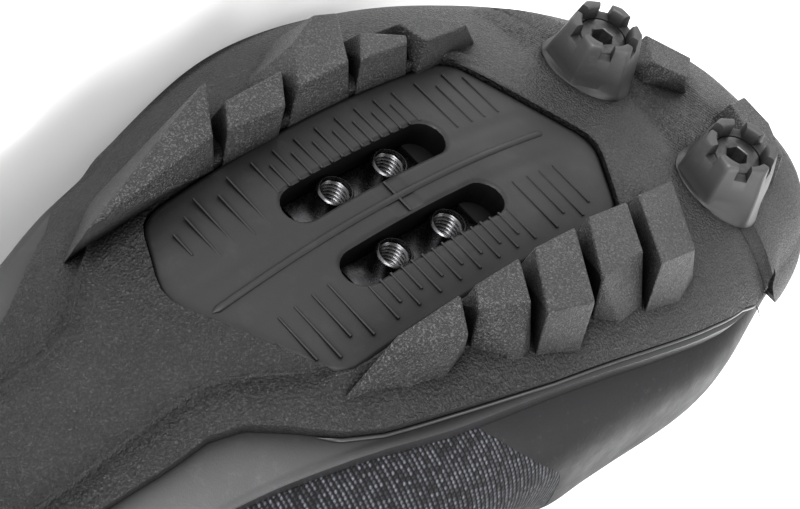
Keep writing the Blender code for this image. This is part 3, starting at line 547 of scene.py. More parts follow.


# Twisted cords side by side, each a row of knots that lean one way, over the piece's own map; the knots'
# crowns are painted pale as highlight and the dips between them dark as painted shade.
def clothFinish(name, cord, knot, dark, pale, share, lean):
    made, tree, shader = newMaterial(name, dark, 0.8, Sheen_Weight=0.04, Sheen_Roughness=0.4)
    shader.inputs["Specular IOR Level"].default_value = 0.16
    parts = node(tree, "ShaderNodeSeparateXYZ", {0: flatMap(tree)})
    wobble = between(tree, noise(tree, 420, 2, 0.5), 0, 1, -0.12, 0.12)
    across = plus(tree, maths(tree, "DIVIDE", parts.outputs[0], cord), wobble)
    column = maths(tree, "FLOOR", across)
    side = maths(tree, "SUBTRACT", maths(tree, "FRACT", across), 0.5)
    odd = times(tree, maths(tree, "FLOORED_MODULO", column, 2.0), 0.5)
    down = plus(tree, plus(tree, maths(tree, "DIVIDE", parts.outputs[1], knot), odd), times(tree, side, lean))
    row = maths(tree, "FLOOR", down)
    upright = maths(tree, "SUBTRACT", maths(tree, "FRACT", down), 0.5)
    fall = plus(tree, times(tree, maths(tree, "POWER", side, 2.0), 5.2),
                times(tree, maths(tree, "POWER", upright, 2.0), 1.9))
    crown = maths(tree, "MAXIMUM", maths(tree, "SUBTRACT", 1.0, fall), 0.0)
    cell = node(tree, "ShaderNodeCombineXYZ", {0: column, 1: row})
    chance = node(tree, "ShaderNodeTexWhiteNoise", {"Vector": cell.outputs[0]}, noise_dimensions="2D")
    thread = noise(tree, 7500, 2, 0.6)
    bright = between(tree, chance.outputs["Value"], 1 - share, 1.0, 0.1, 1)
    # painted highlight: each knot's crown is painted pale, and the dips between knots stay dark as painted
    # shade
    knotHighlight = times(tree, bright, times(tree, crown, crown))
    knotHighlight = times(tree, knotHighlight, between(tree, thread, 0.35, 0.65, 0.45, 1.25))
    tree.links.new(blended(tree, knotHighlight, dark, pale), shader.inputs["Base Color"])
    raised(tree, shader, plus(tree, crown, times(tree, thread, 0.25)), 0.9, cord * 0.45)
    return made


def threadFinish():
    made, tree, shader = newMaterial("thread", (0.02, 0.02, 0.021), 0.6, Sheen_Weight=0.3)
    raised(tree, shader, noise(tree, 6000, 2), 0.6, 0.0001)
    return made


# name, colour, least and greatest roughness, depth of the relief, coat, specular level
plastics = {
    "insert": ("insertPlastic", (0.0045, 0.0045, 0.005), 0.44, 0.58, 0.00006, 0.0, 0.31),
    "stud": ("studPlastic", (0.030, 0.030, 0.031), 0.44, 0.56, 0.00006, 0.0, 0.34),
    "shell": ("shellPlastic", (0.024, 0.024, 0.025), 0.3, 0.42, 0.00005, 0.12, 0.38),
}
metals = {
    "steel": ("darkSteel", (0.05, 0.05, 0.052), 0.26),
    "screw": ("screwSteel", (0.075, 0.075, 0.075), 0.42),
}
# name, width of a cord, length of a knot, dark tone (the cloth's own, and its painted shade between the
# knots) and pale tone (painted highlight on the knots' crowns), share of pale knots, lean of the knots
cloths = {
    "cloth": ("cordedCloth", 0.00078, 0.00066, (0.002, 0.002, 0.0025), (0.11, 0.114, 0.132), 0.92, 0.3),
    "lining": ("liningMesh", 0.0010, 0.0010, (0.008, 0.008, 0.009), (0.05, 0.05, 0.055), 0.5, 0.0),
    "tongue": ("tongueMesh", 0.0013, 0.0013, (0.01, 0.01, 0.011), (0.06, 0.06, 0.066), 0.6, 0.0),
    "webbing": ("webbing", 0.0014, 0.0010, (0.012, 0.012, 0.013), (0.05, 0.05, 0.054), 0.6, 1.0),
    "foam": ("insoleCloth", 0.0008, 0.0008, (0.02, 0.02, 0.022), (0.10, 0.10, 0.11), 0.6, 0.0),
}
finishes = {"rubber": rubberFinish(), "film": filmFinish(), "thread": threadFinish()}
for finish, table in ((plasticFinish, plastics), (metalFinish, metals), (clothFinish, cloths)):
    for part, row in table.items():
        finishes[part] = finish(*row)
print("finishes made")


# The tread: rubber sole, rims, waist panel and lugs in one.
tread = {
    "shell": 0.00275, "edge": 0.0009, "bumper": 0.0022, "shellToe": 0.865, "bumperStart": 0.872,
    "pitch": 0.00076, "across": 166,
    "cup": ((-0.700, 0.80), (-0.600, 0.785), (-0.538, 0.775)),
    "shellCup": ((-0.700, 1.02), (-0.600, 0.96), (-0.538, 0.88)),
    "bumperEdge": ((0.165, 0.400), (0.190, 0.360), (0.206, 0.362), (0.2375, 0.385), (0.2400, 0.500),
                   (0.2480, 0.560), (0.275, 0.650), (0.300, 0.790), (0.316, 0.940), (0.324, 1.100)),
    "sideRim": 0.0015, "frontRim": 0.00035, "panelStep": 0.0008,
    # where the flat waist panel ends, as points of the plan in millimetres, outer and inner side
    "panelOuter": ((-140, -16), (-110, -11.5), (-90, -9.6), (-66, -9.4), (-59, -9.3), (-54, -10.7),
                   (-50.5, -14.1), (-45.4, -19.0), (-42.4, -21.4), (-38, -23.5)),
    "panelInner": ((-140, 15), (-110, 10.5), (-90, 9.2), (-72, 8.9), (-60, 8.6), (-51.8, 8.5),
                   (-45.4, 8.8), (-41.6, 10.4), (-33.4, 15.9), (-26, 18.5)),
    "panelLine": 0.42, "coarse": 0.0026,
    "closed": 179.8,  # short of half a turn, so that the two edges over the toe stay apart
    "slant": (0.42, 0.91),  # which way the ribs at the toe run
}
insert = {
    "length": 0.086, "width": 0.0395, "recess": 0.0003, "slotWidth": 0.0069, "slotLength": 0.034,
    "slotAt": -0.0006, "apart": 0.014, "seat": 0.006, "bevel": 0.0004, "pitch": 0.0003,
}


# The insert's outline in plan, with rounded corners.
def insertOutline(clearance=0.0, turns=4):
    half, wide = insert["length"] / 2 + clearance, insert["width"] / 2 + clearance
    skew = 0.06 * insert["length"]
    corners = [Vector(c) for c in ((half * 1.045, skew), (half * 0.80, wide), (-half * 0.66, wide),
                                   (-half * 0.955, -skew * 1.2), (-half * 0.80, -wide), (half * 0.72, -wide))]
    outline = []
    for i, here in enumerate(corners):
        before, after = corners[i - 1] - here, corners[(i + 1) % 6] - here
        reach = min(0.10 * insert["width"], before.length / 3, after.length / 3)
        start, end = here + before.normalized() * reach, here + after.normalized() * reach
        for k in range(turns):
            t = k / (turns - 1)
            outline.append(tuple((1 - t) ** 2 * start + 2 * t * (1 - t) * here + t * t * end))
    return outline


# Distance in plan from an outline, below zero inside it.
def outlineDistance(points, outline):
    corners = np.array(outline)
    best, inside = np.full(len(points), 1e9), np.zeros(len(points), bool)
    for a, b in zip(corners, np.roll(corners, -1, 0)):
        t = np.clip(((points - a) @ (b - a)) / max((b - a) @ (b - a), 1e-18), 0, 1)
        best = np.minimum(best, np.linalg.norm(points - a - t[:, None] * (b - a), axis=1))
        rising = (a[1] > points[:, 1]) != (b[1] > points[:, 1])
        cross = a[0] + (points[:, 1] - a[1]) * (b[0] - a[0]) / ((b[1] - a[1]) if b[1] != a[1] else 1e-12)
        inside ^= rising & (points[:, 0] < cross)
    return np.where(inside, -best, best)


# How far a place is from the middle of its section, as a share of the tread's half width.
def spread(s, a):
    edge = np.clip(np.where(a >= 0, edgeAngle(1, s), edgeAngle(2, s)), 50, 62)
    here, middle = lastPoint(s, a)[..., 1], lastPoint(s, 0 * a)[..., 1]
    side = lastPoint(s, np.sign(a + 1e-9) * edge)[..., 1]
    return np.minimum(np.abs(here - middle) / np.maximum(np.abs(side - middle), 1e-6), 1.0)


# How thick the rubber is over the last: full underneath, thin up the sides and over the toe.
def treadOffset(s, a):
    reach = 0.007 + 0.058 * step((70 - np.abs(a)) / 29)
    edge = tread["shell"] + last["gap"] + tread["edge"]
    thin = edge + (last["gap"] + tread["bumper"] - edge) * step((s - tread["shellToe"]) / reach)
    full = last["stack"] * curves["stack"](s)
    fade = step((1 - s) / 0.05) * step(s / 0.02 + 0.35)
    power = 4 + 3 * step((0.3 - s) / 0.15)
    return np.maximum(thin + (full - thin) * (1 - spread(s, a) ** power) * fade, thin)


# A block that takes off all that stands above a line in side view.
def sideTrim(line):
    low = [(x * last["length"], z * last["side"]) for x, z in line]
    high = last["instep"]
    return prismMesh(low + [(low[-1][0], high), (low[0][0], high)], "XZ", -last["ball"], last["ball"])


# How far the rubber stands over the last's tread face at a place in plan, worked out in millimetres:
# the rims round the insert and the step down past the waist panel.
def treadRelief(points, a):
    flat = points[:, :2]
    x, y = flat[:, 0] * 1000, flat[:, 1] * 1000
    away = outlineDistance(flat, insertOutline()) * 1000
    beside = step((x + 33) / 8) * step((44 - x) / 6) * step((np.abs(y) - 17) / 2)
    rim = 1000 * tread["sideRim"] * beside * step((away + 0.1) / 0.9) * step((5.2 - away) / 3.6)
    front = step((x - 20) / 12) * step((away + 0.1) / 0.8) * step((2.6 - away) / 1.2)
    result = np.maximum(rim, front * 1000 * tread["frontRim"])
    for row, side in ((tread["panelOuter"], -1), (tread["panelInner"], 1)):
        line = np.array(row, float)
        past = (y - np.interp(x, line[:, 0], line[:, 1])) * side
        here = step((-24 - x) / 6) * step((x + 150) / 10)
        result = result - 1000 * tread["panelStep"] * here * step(past / 0.9)
        result = result + tread["panelLine"] * here * np.exp(-((past + 0.2) / 0.5) ** 2)
    return result * (np.abs(a) < 75) / 1000


lugs = {
    "height": 0.0055, "toeHeight": 0.0042, "heelGround": 0.0065, "heelEnd": -0.56, "heelSpread": 0.0025,
    "root": 0.0012, "bevel": 0.00042, "grain": 0.12,
    # side, top corners, foot corners, as shares of the length ahead of the barrels and of the width
    "forefoot": (
        (1, ((-0.079, 0.232), (-0.034, 0.232), (-0.048, 0.297), (-0.077, 0.261)),
         ((-0.112, 0.240), (-0.034, 0.220), (-0.0345, 0.287), (-0.055, 0.306), (-0.080, 0.284))),
        (1, ((-0.023, 0.232), (0.012, 0.230), (-0.004, 0.307), (-0.033, 0.272)),
         ((-0.023, 0.220), (0.012, 0.218), (0.0015, 0.345), (-0.010, 0.352), (-0.0325, 0.292))),
        (1, ((0.025, 0.228), (0.060, 0.229), (0.029, 0.363), (-0.001, 0.337)),
         ((0.025, 0.216), (0.060, 0.217), (0.049, 0.348), (0.030, 0.385), (0.0015, 0.356))),
        (1, ((0.074, 0.223), (0.110, 0.227), (0.087, 0.325), (0.046, 0.333)),
         ((0.074, 0.211), (0.110, 0.215), (0.091, 0.378), (0.070, 0.385), (0.0505, 0.352))),
        (1, ((0.123, 0.224), (0.160, 0.222), (0.124, 0.364), (0.091, 0.361)),
         ((0.123, 0.212), (0.163, 0.210), (0.145, 0.372), (0.120, 0.398), (0.0895, 0.386))),
        (-1, ((-0.057, 0.328), (-0.077, 0.233), (-0.160, 0.215)),
         ((-0.052, 0.345), (-0.072, 0.216), (-0.165, 0.236), (-0.126, 0.322))),
        (-1, ((-0.058, 0.276), (-0.069, 0.225), (-0.031, 0.215), (-0.016, 0.278)),
         ((-0.048, 0.318), (-0.068, 0.212), (-0.031, 0.205), (0.002, 0.336), (-0.010, 0.340))),
        (-1, ((0.030, 0.354), (0.045, 0.341), (0.024, 0.240), (-0.016, 0.236), (0.003, 0.317)),
         ((0.034, 0.432), (0.056, 0.420), (0.026, 0.212), (-0.022, 0.212), (-0.016, 0.350))),
        (-1, ((0.047, 0.286), (0.075, 0.248), (0.070, 0.231), (0.032, 0.234)),
         ((0.055, 0.345), (0.084, 0.290), (0.074, 0.212), (0.030, 0.212))),
        (-1, ((0.077, 0.277), (0.095, 0.278), (0.125, 0.239), (0.124, 0.228), (0.084, 0.222)),
         ((0.078, 0.345), (0.100, 0.345), (0.150, 0.262), (0.150, 0.236), (0.080, 0.205))),
    ),
    "toe": (
        (1, ((0.275, -0.110), (0.294, -0.026), (0.270, 0.016), (0.254, -0.040)),
         ((0.280, -0.120), (0.304, -0.026), (0.278, 0.026), (0.246, -0.036), (0.252, -0.095))),
        (1, ((0.305, 0.100), (0.302, 0.175), (0.282, 0.256), (0.268, 0.215), (0.285, 0.105)),
         ((0.312, 0.092), (0.310, 0.180), (0.280, 0.275), (0.258, 0.225), (0.277, 0.095))),
    ),
    "heel": (
        ((-0.420, 0.080), (-0.420, 0.240), (-0.468, 0.262), (-0.458, 0.090)),
        ((-0.482, 0.095), (-0.492, 0.265), (-0.545, 0.250), (-0.525, 0.100)),
        ((-0.550, 0.100), (-0.570, 0.240), (-0.606, 0.170), (-0.598, 0.060)),
    ),
}


# The tread's underside over a place in plan, which moves inwards until there is one.
def underside(probe, x, y):
    while True:
        hit = probe.ray_cast(Vector((x, y, -0.1)), Vector((0, 0, 1)))[0]
        if hit is not None:
            return x, y, hit.z
        y *= 0.98


# One lug: the hull of its top corners and of a foot that follows the tread, its crown bevelled.
def lugMesh(top, foot, probe):
    feet = []
    for a, b in zip(foot, foot[1:] + foot[:1]):
        parts = max(1, round((Vector(b) - Vector(a)).length / 0.005))
        for k in range(parts):
            x, y, z = underside(probe, *Vector(a).lerp(Vector(b), k / parts))
            feet.append((x, y, z + lugs["root"]))
    work = bmesh.new()
    for point in list(top) + feet:
        work.verts.new(point)
    bmesh.ops.convex_hull(work, input=work.verts)
    kept = {v for f in work.faces for v in f.verts}
    for vertex in [v for v in work.verts if v not in kept]:
        work.verts.remove(vertex)
    bmesh.ops.recalc_face_normals(work, faces=work.faces)
    bmesh.ops.dissolve_limit(work, angle_limit=math.radians(7), verts=work.verts, edges=work.edges)
    highest = {tuple(round(c * 1e5) for c in point) for point in top}
    crown = [v for v in work.verts if tuple(round(c * 1e5) for c in v.co) in highest]
    edges = {e for v in crown for e in v.link_edges if e.calc_face_angle(0) > math.radians(14)}
    bmesh.ops.bevel(work, geom=list(edges), offset=lugs["bevel"], segments=3, profile=0.6, affect="EDGES",
                    clamp_overlap=True)
    bmesh.ops.triangulate(work, faces=[f for f in work.faces if len(f.verts) > 4])
    mesh = bpy.data.meshes.new("lug")
    work.to_mesh(mesh)
    work.free()
    return mesh


def makeLugs(probe):
    length, ball, pieces = last["length"], last["ball"], []
    for rowName, height in (("forefoot", lugs["height"]), ("toe", lugs["toeHeight"])):
        for side, top, foot in lugs[rowName]:
            crown = []
            for x, y in top:
                x, y = x * length, side * y * ball
                crown.append((x, y, float(treadHeight((x - heelTip) / length)) - height))
            pieces.append(lugMesh(crown, [(x * length, side * y * ball) for x, y in foot], probe))
    ground = lugs["heelGround"] + lugs["height"]
    for side in (1, -1):
        for row in lugs["heel"]:
            top = [Vector((x * length, side * y * ball)) for x, y in row]
            middle = sum(top, Vector((0.0, 0.0))) / len(top)
            crown = [(*p, -lugs["height"] + ground * p.x / (lugs["heelEnd"] * length)) for p in top]
            foot = [tuple(p + (p - middle).normalized() * lugs["heelSpread"]) for p in top]
            pieces.append(lugMesh(crown, foot, probe))
    blocks = joined(pieces, "lugs")
    blocks.uv_layers.new(name="surface")
    mark(blocks, "grain", np.full(len(blocks.vertices), lugs["grain"]))
    mark(blocks, "rib", np.zeros(len(blocks.vertices)))
    return blocks


def makeTread():
    rows = stationRow(0.0, 1.0, tread["pitch"] * (1), tread["coarse"])
    outerEdge, innerEdge = (np.minimum(edgeAngle(k, rows), tread["closed"]) for k in (2, 1))
    a = rowAngles(rows, -outerEdge, innerEdge, rowCount(tread["across"]))
    s = np.repeat(rows[:, None], a.shape[1], 1)
    on, normal = lastPoint(s, a), lastNormal(s, a)
    outer = on + treadOffset(s, a)[..., None] * normal
    lift = treadRelief(outer.reshape(-1, 3), a.ravel()).reshape(s.shape)
    outer = outer + lift[..., None] * normal
    ahead = s > (tread["shellToe"] + tread["bumperStart"]) / 2
    inner = on + np.where(ahead, last["gap"], tread["shell"] + last["gap"])[..., None] * normal
    along, aside = tread["slant"]
    turned = np.stack([outer[..., 0] * along + outer[..., 1] * aside,
                       -outer[..., 0] * aside + outer[..., 1] * along], -1)
    base = shellMesh("tread", outer, inner, uv=turned)
    probe = BVHTree.FromPolygons(outer.reshape(-1, 3).tolist(), gridFaces(*s.shape)[1].tolist())
    base = carve(base, prismMesh(insertOutline(last["gap"]), "XY", -0.02, 0.03))
    base = carve(base, sideTrim(tread["cup"]))
    base = carve(base, sideTrim(tread["bumperEdge"]))
    # less grain towards the toe, and two ribbed patches there
    x, y = (pointsOf(base)[:, :2] * 1000).T
    mark(base, "grain", np.clip(1 - step((x - 52) / 8) * 0.55, 0, 1))
    middle = step((x - 62 + 0.2 * y) / 2.5) * step((83 - x) / 3) * step((y + 8) / 3) * step((17 - y) / 3)
    beside = step((x - 50) / 2.5) * step((70 - x) / 3) * step((-17 - y) / 2.5) * step((y + 33) / 3)
    mark(base, "rib", np.maximum(middle, beside))
    place("tread", joined([base, makeLugs(probe)], "tread"), finishes["rubber"], ["outsole"], "rubber")
    return probe


treadProbe = makeTread()


# The cleat insert and its two slots.
def slotOutline(side, turns=12):
    half = insert["slotWidth"] / 2
    straight = (insert["slotLength"] - insert["slotWidth"]) / 2
    outline = []
    for end in (1, -1):
        for k in range(turns + 1):
            turn = math.pi * (k / turns - 0.5)
            outline.append((insert["slotAt"] + end * (straight + half * math.cos(turn)),
                            side * insert["apart"] / 2 + end * half * math.sin(turn)))
    return outline


# Height of the insert's face over a place in plan, read from the same last as the tread.
def insertFace(points):
    s = np.clip((points[:, 0] - heelTip) / last["length"], 0, 1)
    fine = np.linspace(-60, 60, 241)
    rows = lastPoint(s[:, None], fine[None, :])
    low = last["stack"] * curves["stack"](s) - insert["recess"]
    normal = lastNormal(s[:, None], fine[None, :])
    skin = rows + np.maximum(low, tread["shell"] + last["gap"] + 0.001)[:, None, None] * normal
    return np.array([np.interp(p[1], skin[k, :, 1], skin[k, :, 2]) for k, p in enumerate(points)])


def makeInsert():
    pitch = insert["pitch"] * 1
    xs, ys = np.arange(-0.0445, 0.0462, pitch), np.arange(-0.0202, 0.0203, pitch)
    coarseX, coarseY = xs[::8], ys[::8]
    gridX, gridY = np.meshgrid(coarseX, coarseY, indexing="ij")
    coarse = insertFace(np.stack([gridX.ravel(), gridY.ravel()], -1)).reshape(gridX.shape)
    half = np.array([np.interp(ys, coarseY, row) for row in coarse])
    height = np.array([np.interp(xs, coarseX, column) for column in half.T]).T
    x, y = np.meshgrid(xs, ys, indexing="ij")
    flat = np.stack([x.ravel(), y.ravel()], -1)
    # rounded at its rim and at the slots, and a little dished beside the middle line
    away = -outlineDistance(flat, insertOutline(0.0, 6)).reshape(x.shape)
    bevel = insert["bevel"]
    drop = bevel * 0.8 * (1 - np.clip(away / bevel, 0, 1)) ** 2
    for side in (-1, 1):
        near = outlineDistance(flat, slotOutline(side)).reshape(x.shape)
        drop = np.maximum(drop, bevel * 1.1 * (1 - np.clip(near / (bevel * 1.5), 0, 1)) ** 2)
    dish = 0.000105 * step(1 - np.abs(np.abs(y) - 0.0045) / 0.002) * step((0.038 - np.abs(x)) / 0.004)
    lower = height + drop + dish
    # flat where the cleat sits
    seat = (np.abs(x - insert["slotAt"]) < insert["seat"] / 2) & (np.abs(y) < insert["seat"] / 2)
    lower = np.where(seat, np.minimum(np.maximum(lower, insert["recess"] + 0.00015), 0.0006), lower)
    s = np.clip((x - heelTip) / last["length"], 0, 1)
    back = np.maximum(lastPoint(s, 0 * s)[..., 2] - (tread["shell"] + last["gap"]), lower + 0.001)
    slab = shellMesh("insert", np.stack([x, y, lower], -1), np.stack([x, y, back], -1))
    slab = carve(slab, prismMesh(insertOutline(0.0, 8), "XY", -0.02, 0.03), "INTERSECT")
    for side in (-1, 1):
        slab = carve(slab, prismMesh(slotOutline(side), "XY", -0.01, 0.02))
    place("cleatInsert", slab, finishes["insert"], ["cleat_insert"], "insert plastic", 40)
    return xs, ys, height


insertTop = makeInsert()


# The scale beside the slots: raised bars, placed in millimetres of the plan, and a spine between.
marks = {
    "width": 0.00046, "height": 0.00023, "long": (10.4, 17.2), "short": (10.4, 15.2), "first": -15.9,
    "pitch": 4.37, "count": 8, "cross": 6.4,
    "ahead": ((20.3, 6.6, 17.2), (24.0, 6.6, 15.4), (27.3, 6.6, 17.2), (31.0, 6.6, 15.4)),
    "behind": ((-20.7, 6.6, 17.2), (-23.7, 6.6, 15.4), (-27.0, 6.6, 17.2), (-30.0, 6.6, 15.4),
               (-33.0, 9.5, 14.0)),
    "spine": (-0.037, 0.036), "spineWidth": 0.0006, "spineHeight": 0.00028,
}


# Middle and length of every bar.
def markTable():
    rows = []
    for i in range(marks["count"]):
        rows.append((marks["first"] + marks["pitch"] * i, *marks["long"]))
        if i < marks["count"] - 1:
            rows.append((marks["first"] + marks["pitch"] * (i + 0.5), *marks["short"]))
    table = []
    for x, low, high in (*rows, *marks["ahead"], *marks["behind"]):
        for side in (-1, 1):
            table.append((x, side * (low + high) / 2, high - low))
    table += [(insert["slotAt"] * 1000, 0.0, marks["cross"])]
    return np.array(table) / 1000


def faceAt(x, y):
    xs, ys, height = insertTop
    i, j = np.searchsorted(xs, x), np.searchsorted(ys, y)
    return height[np.clip(i, 0, len(xs) - 1), np.clip(j, 0, len(ys) - 1)]


# A node tree with a Geometry socket, named sizes and a Geometry output.
def newTree(name, **sizes):
    tree = bpy.data.node_groups.new(name, "GeometryNodeTree")
    tree.interface.new_socket("Geometry", in_out="INPUT", socket_type="NodeSocketGeometry")
    for size, value in sizes.items():
        socket = tree.interface.new_socket(size, in_out="INPUT", socket_type="NodeSocketFloat")
        socket.default_value = value
    tree.interface.new_socket("Geometry", in_out="OUTPUT", socket_type="NodeSocketGeometry")
    return tree, node(tree, "NodeGroupInput").outputs


# The end of a tree: instances made real and painted.
def endTree(tree, instances, material):
    real = node(tree, "GeometryNodeRealizeInstances", {0: instances.outputs[0]})
    paint = node(tree, "GeometryNodeSetMaterial", {"Geometry": real.outputs[0], "Material": material})
    node(tree, "NodeGroupOutput", {0: paint.outputs[0]})
    return tree


# Sets one rounded bar at every point, as long as the point's own "reach".
def barTree(material):
    tree, given = newTree("raisedBars", Width=0.0005, Height=0.0003)
    line = node(tree, "GeometryNodeCurvePrimitiveLine", {"Start": (0, -0.5, 0), "End": (0, 0.5, 0)})
    ring = node(tree, "GeometryNodeCurvePrimitiveCircle", {"Resolution": 12, "Radius": 0.5})
    bar = node(tree, "GeometryNodeCurveToMesh",
               {"Curve": line.outputs[0], "Profile Curve": ring.outputs[0], "Fill Caps": True})
    reach = node(tree, "GeometryNodeInputNamedAttribute", {"Name": "reach"}).outputs["Attribute"]
    tall = times(tree, given["Height"], 2)
    size = node(tree, "ShaderNodeCombineXYZ", {0: given["Width"], 1: reach, 2: tall})
    bars = node(tree, "GeometryNodeInstanceOnPoints",
                {"Points": given["Geometry"], "Instance": bar.outputs[0], "Scale": size.outputs[0]})
    return endTree(tree, bars, material)


# Runs a tree on a mesh or curve and gives the plain mesh that comes of it.
def grown(data, tree, **values):
    thing = bpy.data.objects.new("seed", data)
    scene.collection.objects.link(thing)
    change = thing.modifiers.new("grow", "NODES")
    change.node_group = tree
    for item in tree.interface.items_tree:
        if item.item_type == "SOCKET" and item.in_out == "INPUT" and item.name in values:
            change[item.identifier] = values[item.name]
    thing.update_tag()
    result = evaluated(thing)
    thing.modifiers.remove(change)
    bpy.data.objects.remove(thing)
    return result


def makeMarks():
    table = markTable()
    seeds = bpy.data.meshes.new("marks")
    seeds.from_pydata([(x, y, float(faceAt(x, y))) for x, y, _ in table], [], [])
    mark(seeds, "reach", table[:, 2])
    bars = grown(seeds, barTree(finishes["insert"]), Width=marks["width"], Height=marks["height"])
    xs = np.linspace(*marks["spine"], 70)
    turn = np.linspace(0, math.pi, 9)[None, :]
    fade = np.minimum(1, np.minimum(xs - xs[0], xs[-1] - xs) / 0.0006 + 0.05)[:, None]
    face = faceAt(xs, 0 * xs)[:, None]
    x = np.repeat(xs[:, None], turn.size, 1)
    y = marks["spineWidth"] * np.cos(turn) * fade
    z = face - marks["spineHeight"] * np.sin(turn) * fade
    spine = shellMesh("spine", np.stack([x, y, z], -1), np.stack([x, y, face + 0.0004 + 0 * z], -1))
    place("scaleMarks", joined([bars, spine], "marks"), finishes["insert"], slot="insert plastic", sharp=50)


makeMarks()


# The nut plate with its four threaded barrels.
nuts = {
    "bore": 0.0021, "outside": 0.00305, "hole": 0.0027, "sink": 0.0027, "pitch": 0.0008, "thread": 0.00046,
    "plate": 0.0016, "length": 0.026, "width": 0.024, "corner": 0.002, "alongX": 0.012, "alongY": 0.014,
    "bed": 0.00815,
}


def barrelMesh(x, y):
    low, high = nuts["sink"], nuts["bed"] - 0.0001
    outside, root = nuts["outside"], nuts["bore"] + nuts["thread"]
    angles = np.linspace(0, 2 * math.pi, 65)
    profile = [(outside, high), (outside, low + 0.0003), (outside - 0.0002, low + 0.00008),
               (outside - 0.0004, low), (root + 0.00012, low)]
    # the thread winds up the bore and starts gently at the mouth
    heights = np.arange(low + 0.00045, high, nuts["pitch"] / 9)
    for z in heights:
        phase = np.mod(z / nuts["pitch"] - angles / (2 * math.pi), 1.0)
        tooth = np.clip(np.abs(phase * 2 - 1) * 1.5 - 0.25, 0, 1)
        start = np.clip((z - heights[0]) / nuts["pitch"], 0, 1)
        profile.append((nuts["bore"] + nuts["thread"] * (1 - tooth * start), z))
    profile.append((root, high))
    return ringMesh("barrel", [ringAt(x, y, r, z, angles) for r, z in profile], capped=False)


def makeNuts():
    half, wide, corner = nuts["length"] / 2, nuts["width"] / 2, nuts["corner"]
    outline = []
    for cx, cy, start in ((1, 1, 0), (-1, 1, 90), (-1, -1, 180), (1, -1, 270)):
        for k in range(5):
            turn = math.radians(start + 22.5 * k)
            outline.append((insert["slotAt"] + cx * (half - corner) + corner * math.cos(turn),
                            cy * (wide - corner) + corner * math.sin(turn)))
    plate = bevelled(prismMesh(outline, "XY", nuts["bed"] - nuts["plate"], nuts["bed"]), 0.0003, 2)
    barrels = []
    for i in (-1, 1):
        for j in (-1, 1):
            x, y = insert["slotAt"] + i * nuts["alongX"] / 2, j * nuts["alongY"] / 2
            plate = carve(plate, prismMesh(roundOutline(x, y, nuts["hole"], 32), "XY", 0.0, 0.02))
            barrels.append(barrelMesh(x, y))
    nutMesh = joined([plate] + barrels, "nuts")
    place("nutPlate", nutMesh, finishes["steel"], ["nut_plate"], "blackened steel", 35)


makeNuts()


# Toe studs: a faceted skirt that follows the tread, a crown with six notches, and a screw inside.
stud = {
    "height": 0.0105, "base": 0.0090, "top": 0.0068, "bore": 0.0046, "core": 0.0040, "facets": 6,
    "notch": 0.0023, "notchDepth": 0.0026, "headSink": 0.0026, "socket": 0.0021, "headHeight": 0.0040,
    "socketDepth": 0.0028, "play": 0.00035,
    "places": {"outer": (0.2130, -0.1043), "inner": (0.2247, 0.2337)},
    # share of that radius, share of the height, and how far the ring follows the facets
    "profile": {
        "base": ((0.985, -0.02, 0), (1.0, 0.03, 0.4), (0.99, 0.10, 0.8), (0.96, 0.20, 1.0),
                 (0.92, 0.36, 1.0), (0.87, 0.56, 1.0)),
        "top": ((1.06, 0.78, 1.0), (1.02, 0.88, 1.0), (0.98, 0.955, 0.8), (0.92, 0.99, 0.5),
                (0.86, 1.0, 0.2)),
        "bore": ((1.07, 1.0, 0), (1.0, 0.965, 0), (0.96, 0.80, 0)),
    },
}


def studMesh(x, y, base, crown):
    angles = np.linspace(0, 2 * math.pi, 97)
    facet = math.pi / stud["facets"]
    flat = np.cos(facet) / np.cos(np.mod(angles + 0.3, 2 * facet) - facet)
    profile = [(stud["core"], -0.02, 0)]
    for part, rows in stud["profile"].items():
        profile += [(stud[part] * share, height, square) for share, height, square in rows]
    rings = []
    for r, height, square in profile:
        radius = r * (1 - square * (1 - flat))
        low = np.array([underside(treadProbe, x + reach * math.cos(t), y + reach * math.sin(t))[2]
                        for reach, t in zip(radius, angles)])
        clear = step(height * 4)
        z = low + 0.0003 if height < 0 else low * (1 - clear) + base * clear - (base - crown) * height
        rings.append(ringAt(x, y, radius, z, angles))
    floor = crown + stud["notchDepth"] + 0.0026
    rings += [ringAt(x, y, r, floor, angles) for r in (stud["bore"] * 0.96, 0.0005)]
    mesh, middle = ringMesh("stud", rings), Vector((x, y))
    for k in range(3):
        turn = math.pi * (k + 0.25) / 3
        along = Vector((math.cos(turn), math.sin(turn))) * stud["base"] * 1.2
        wide = Vector((-math.sin(turn), math.cos(turn))) * stud["notch"] / 2
        outline = [tuple(middle + a * along + b * wide) for a, b in fourCorners]
        mesh = carve(mesh, prismMesh(outline, "XY", crown - 0.005, crown + stud["notchDepth"]))
    return bevelled(mesh, 0.0002, 2, 0.7)


def screwMesh(x, y, crown):
    head, foot = crown + stud["headSink"], crown + stud["notchDepth"] + stud["headHeight"] - stud["play"]
    mesh = prismMesh(roundOutline(x, y, stud["bore"] - stud["play"], 48), "XY", head, foot)
    hexagon = roundOutline(x, y, stud["socket"], 6, 0.4)
    mesh = carve(mesh, prismMesh(hexagon, "XY", head - 0.005, head + stud["socketDepth"]))
    return bevelled(mesh, 0.00028, 3, 0.6)


for side, (ahead, aside) in stud["places"].items():
    studX, studY = ahead * last["length"], aside * last["ball"]
    studBase = underside(treadProbe, studX, studY)[2]
    studTop = studBase - stud["height"]
    place(f"toeStud{side.title()}", studMesh(studX, studY, studBase, studTop), finishes["stud"],
          [f"toe_stud_{side}"], "insert plastic", 40)
    place(f"studScrew{side.title()}", screwMesh(studX, studY, studTop), finishes["screw"],
          [f"stud_screw_{side}"], "blackened steel", 35)


# The smooth shell between tread and upper, rounded at its edges, with a bead just inside them.
shell = {"pitch": 0.0012, "across": 110, "least": 0.0002, "round": 0.028, "bead": 0.00045, "beadAt": 0.972}


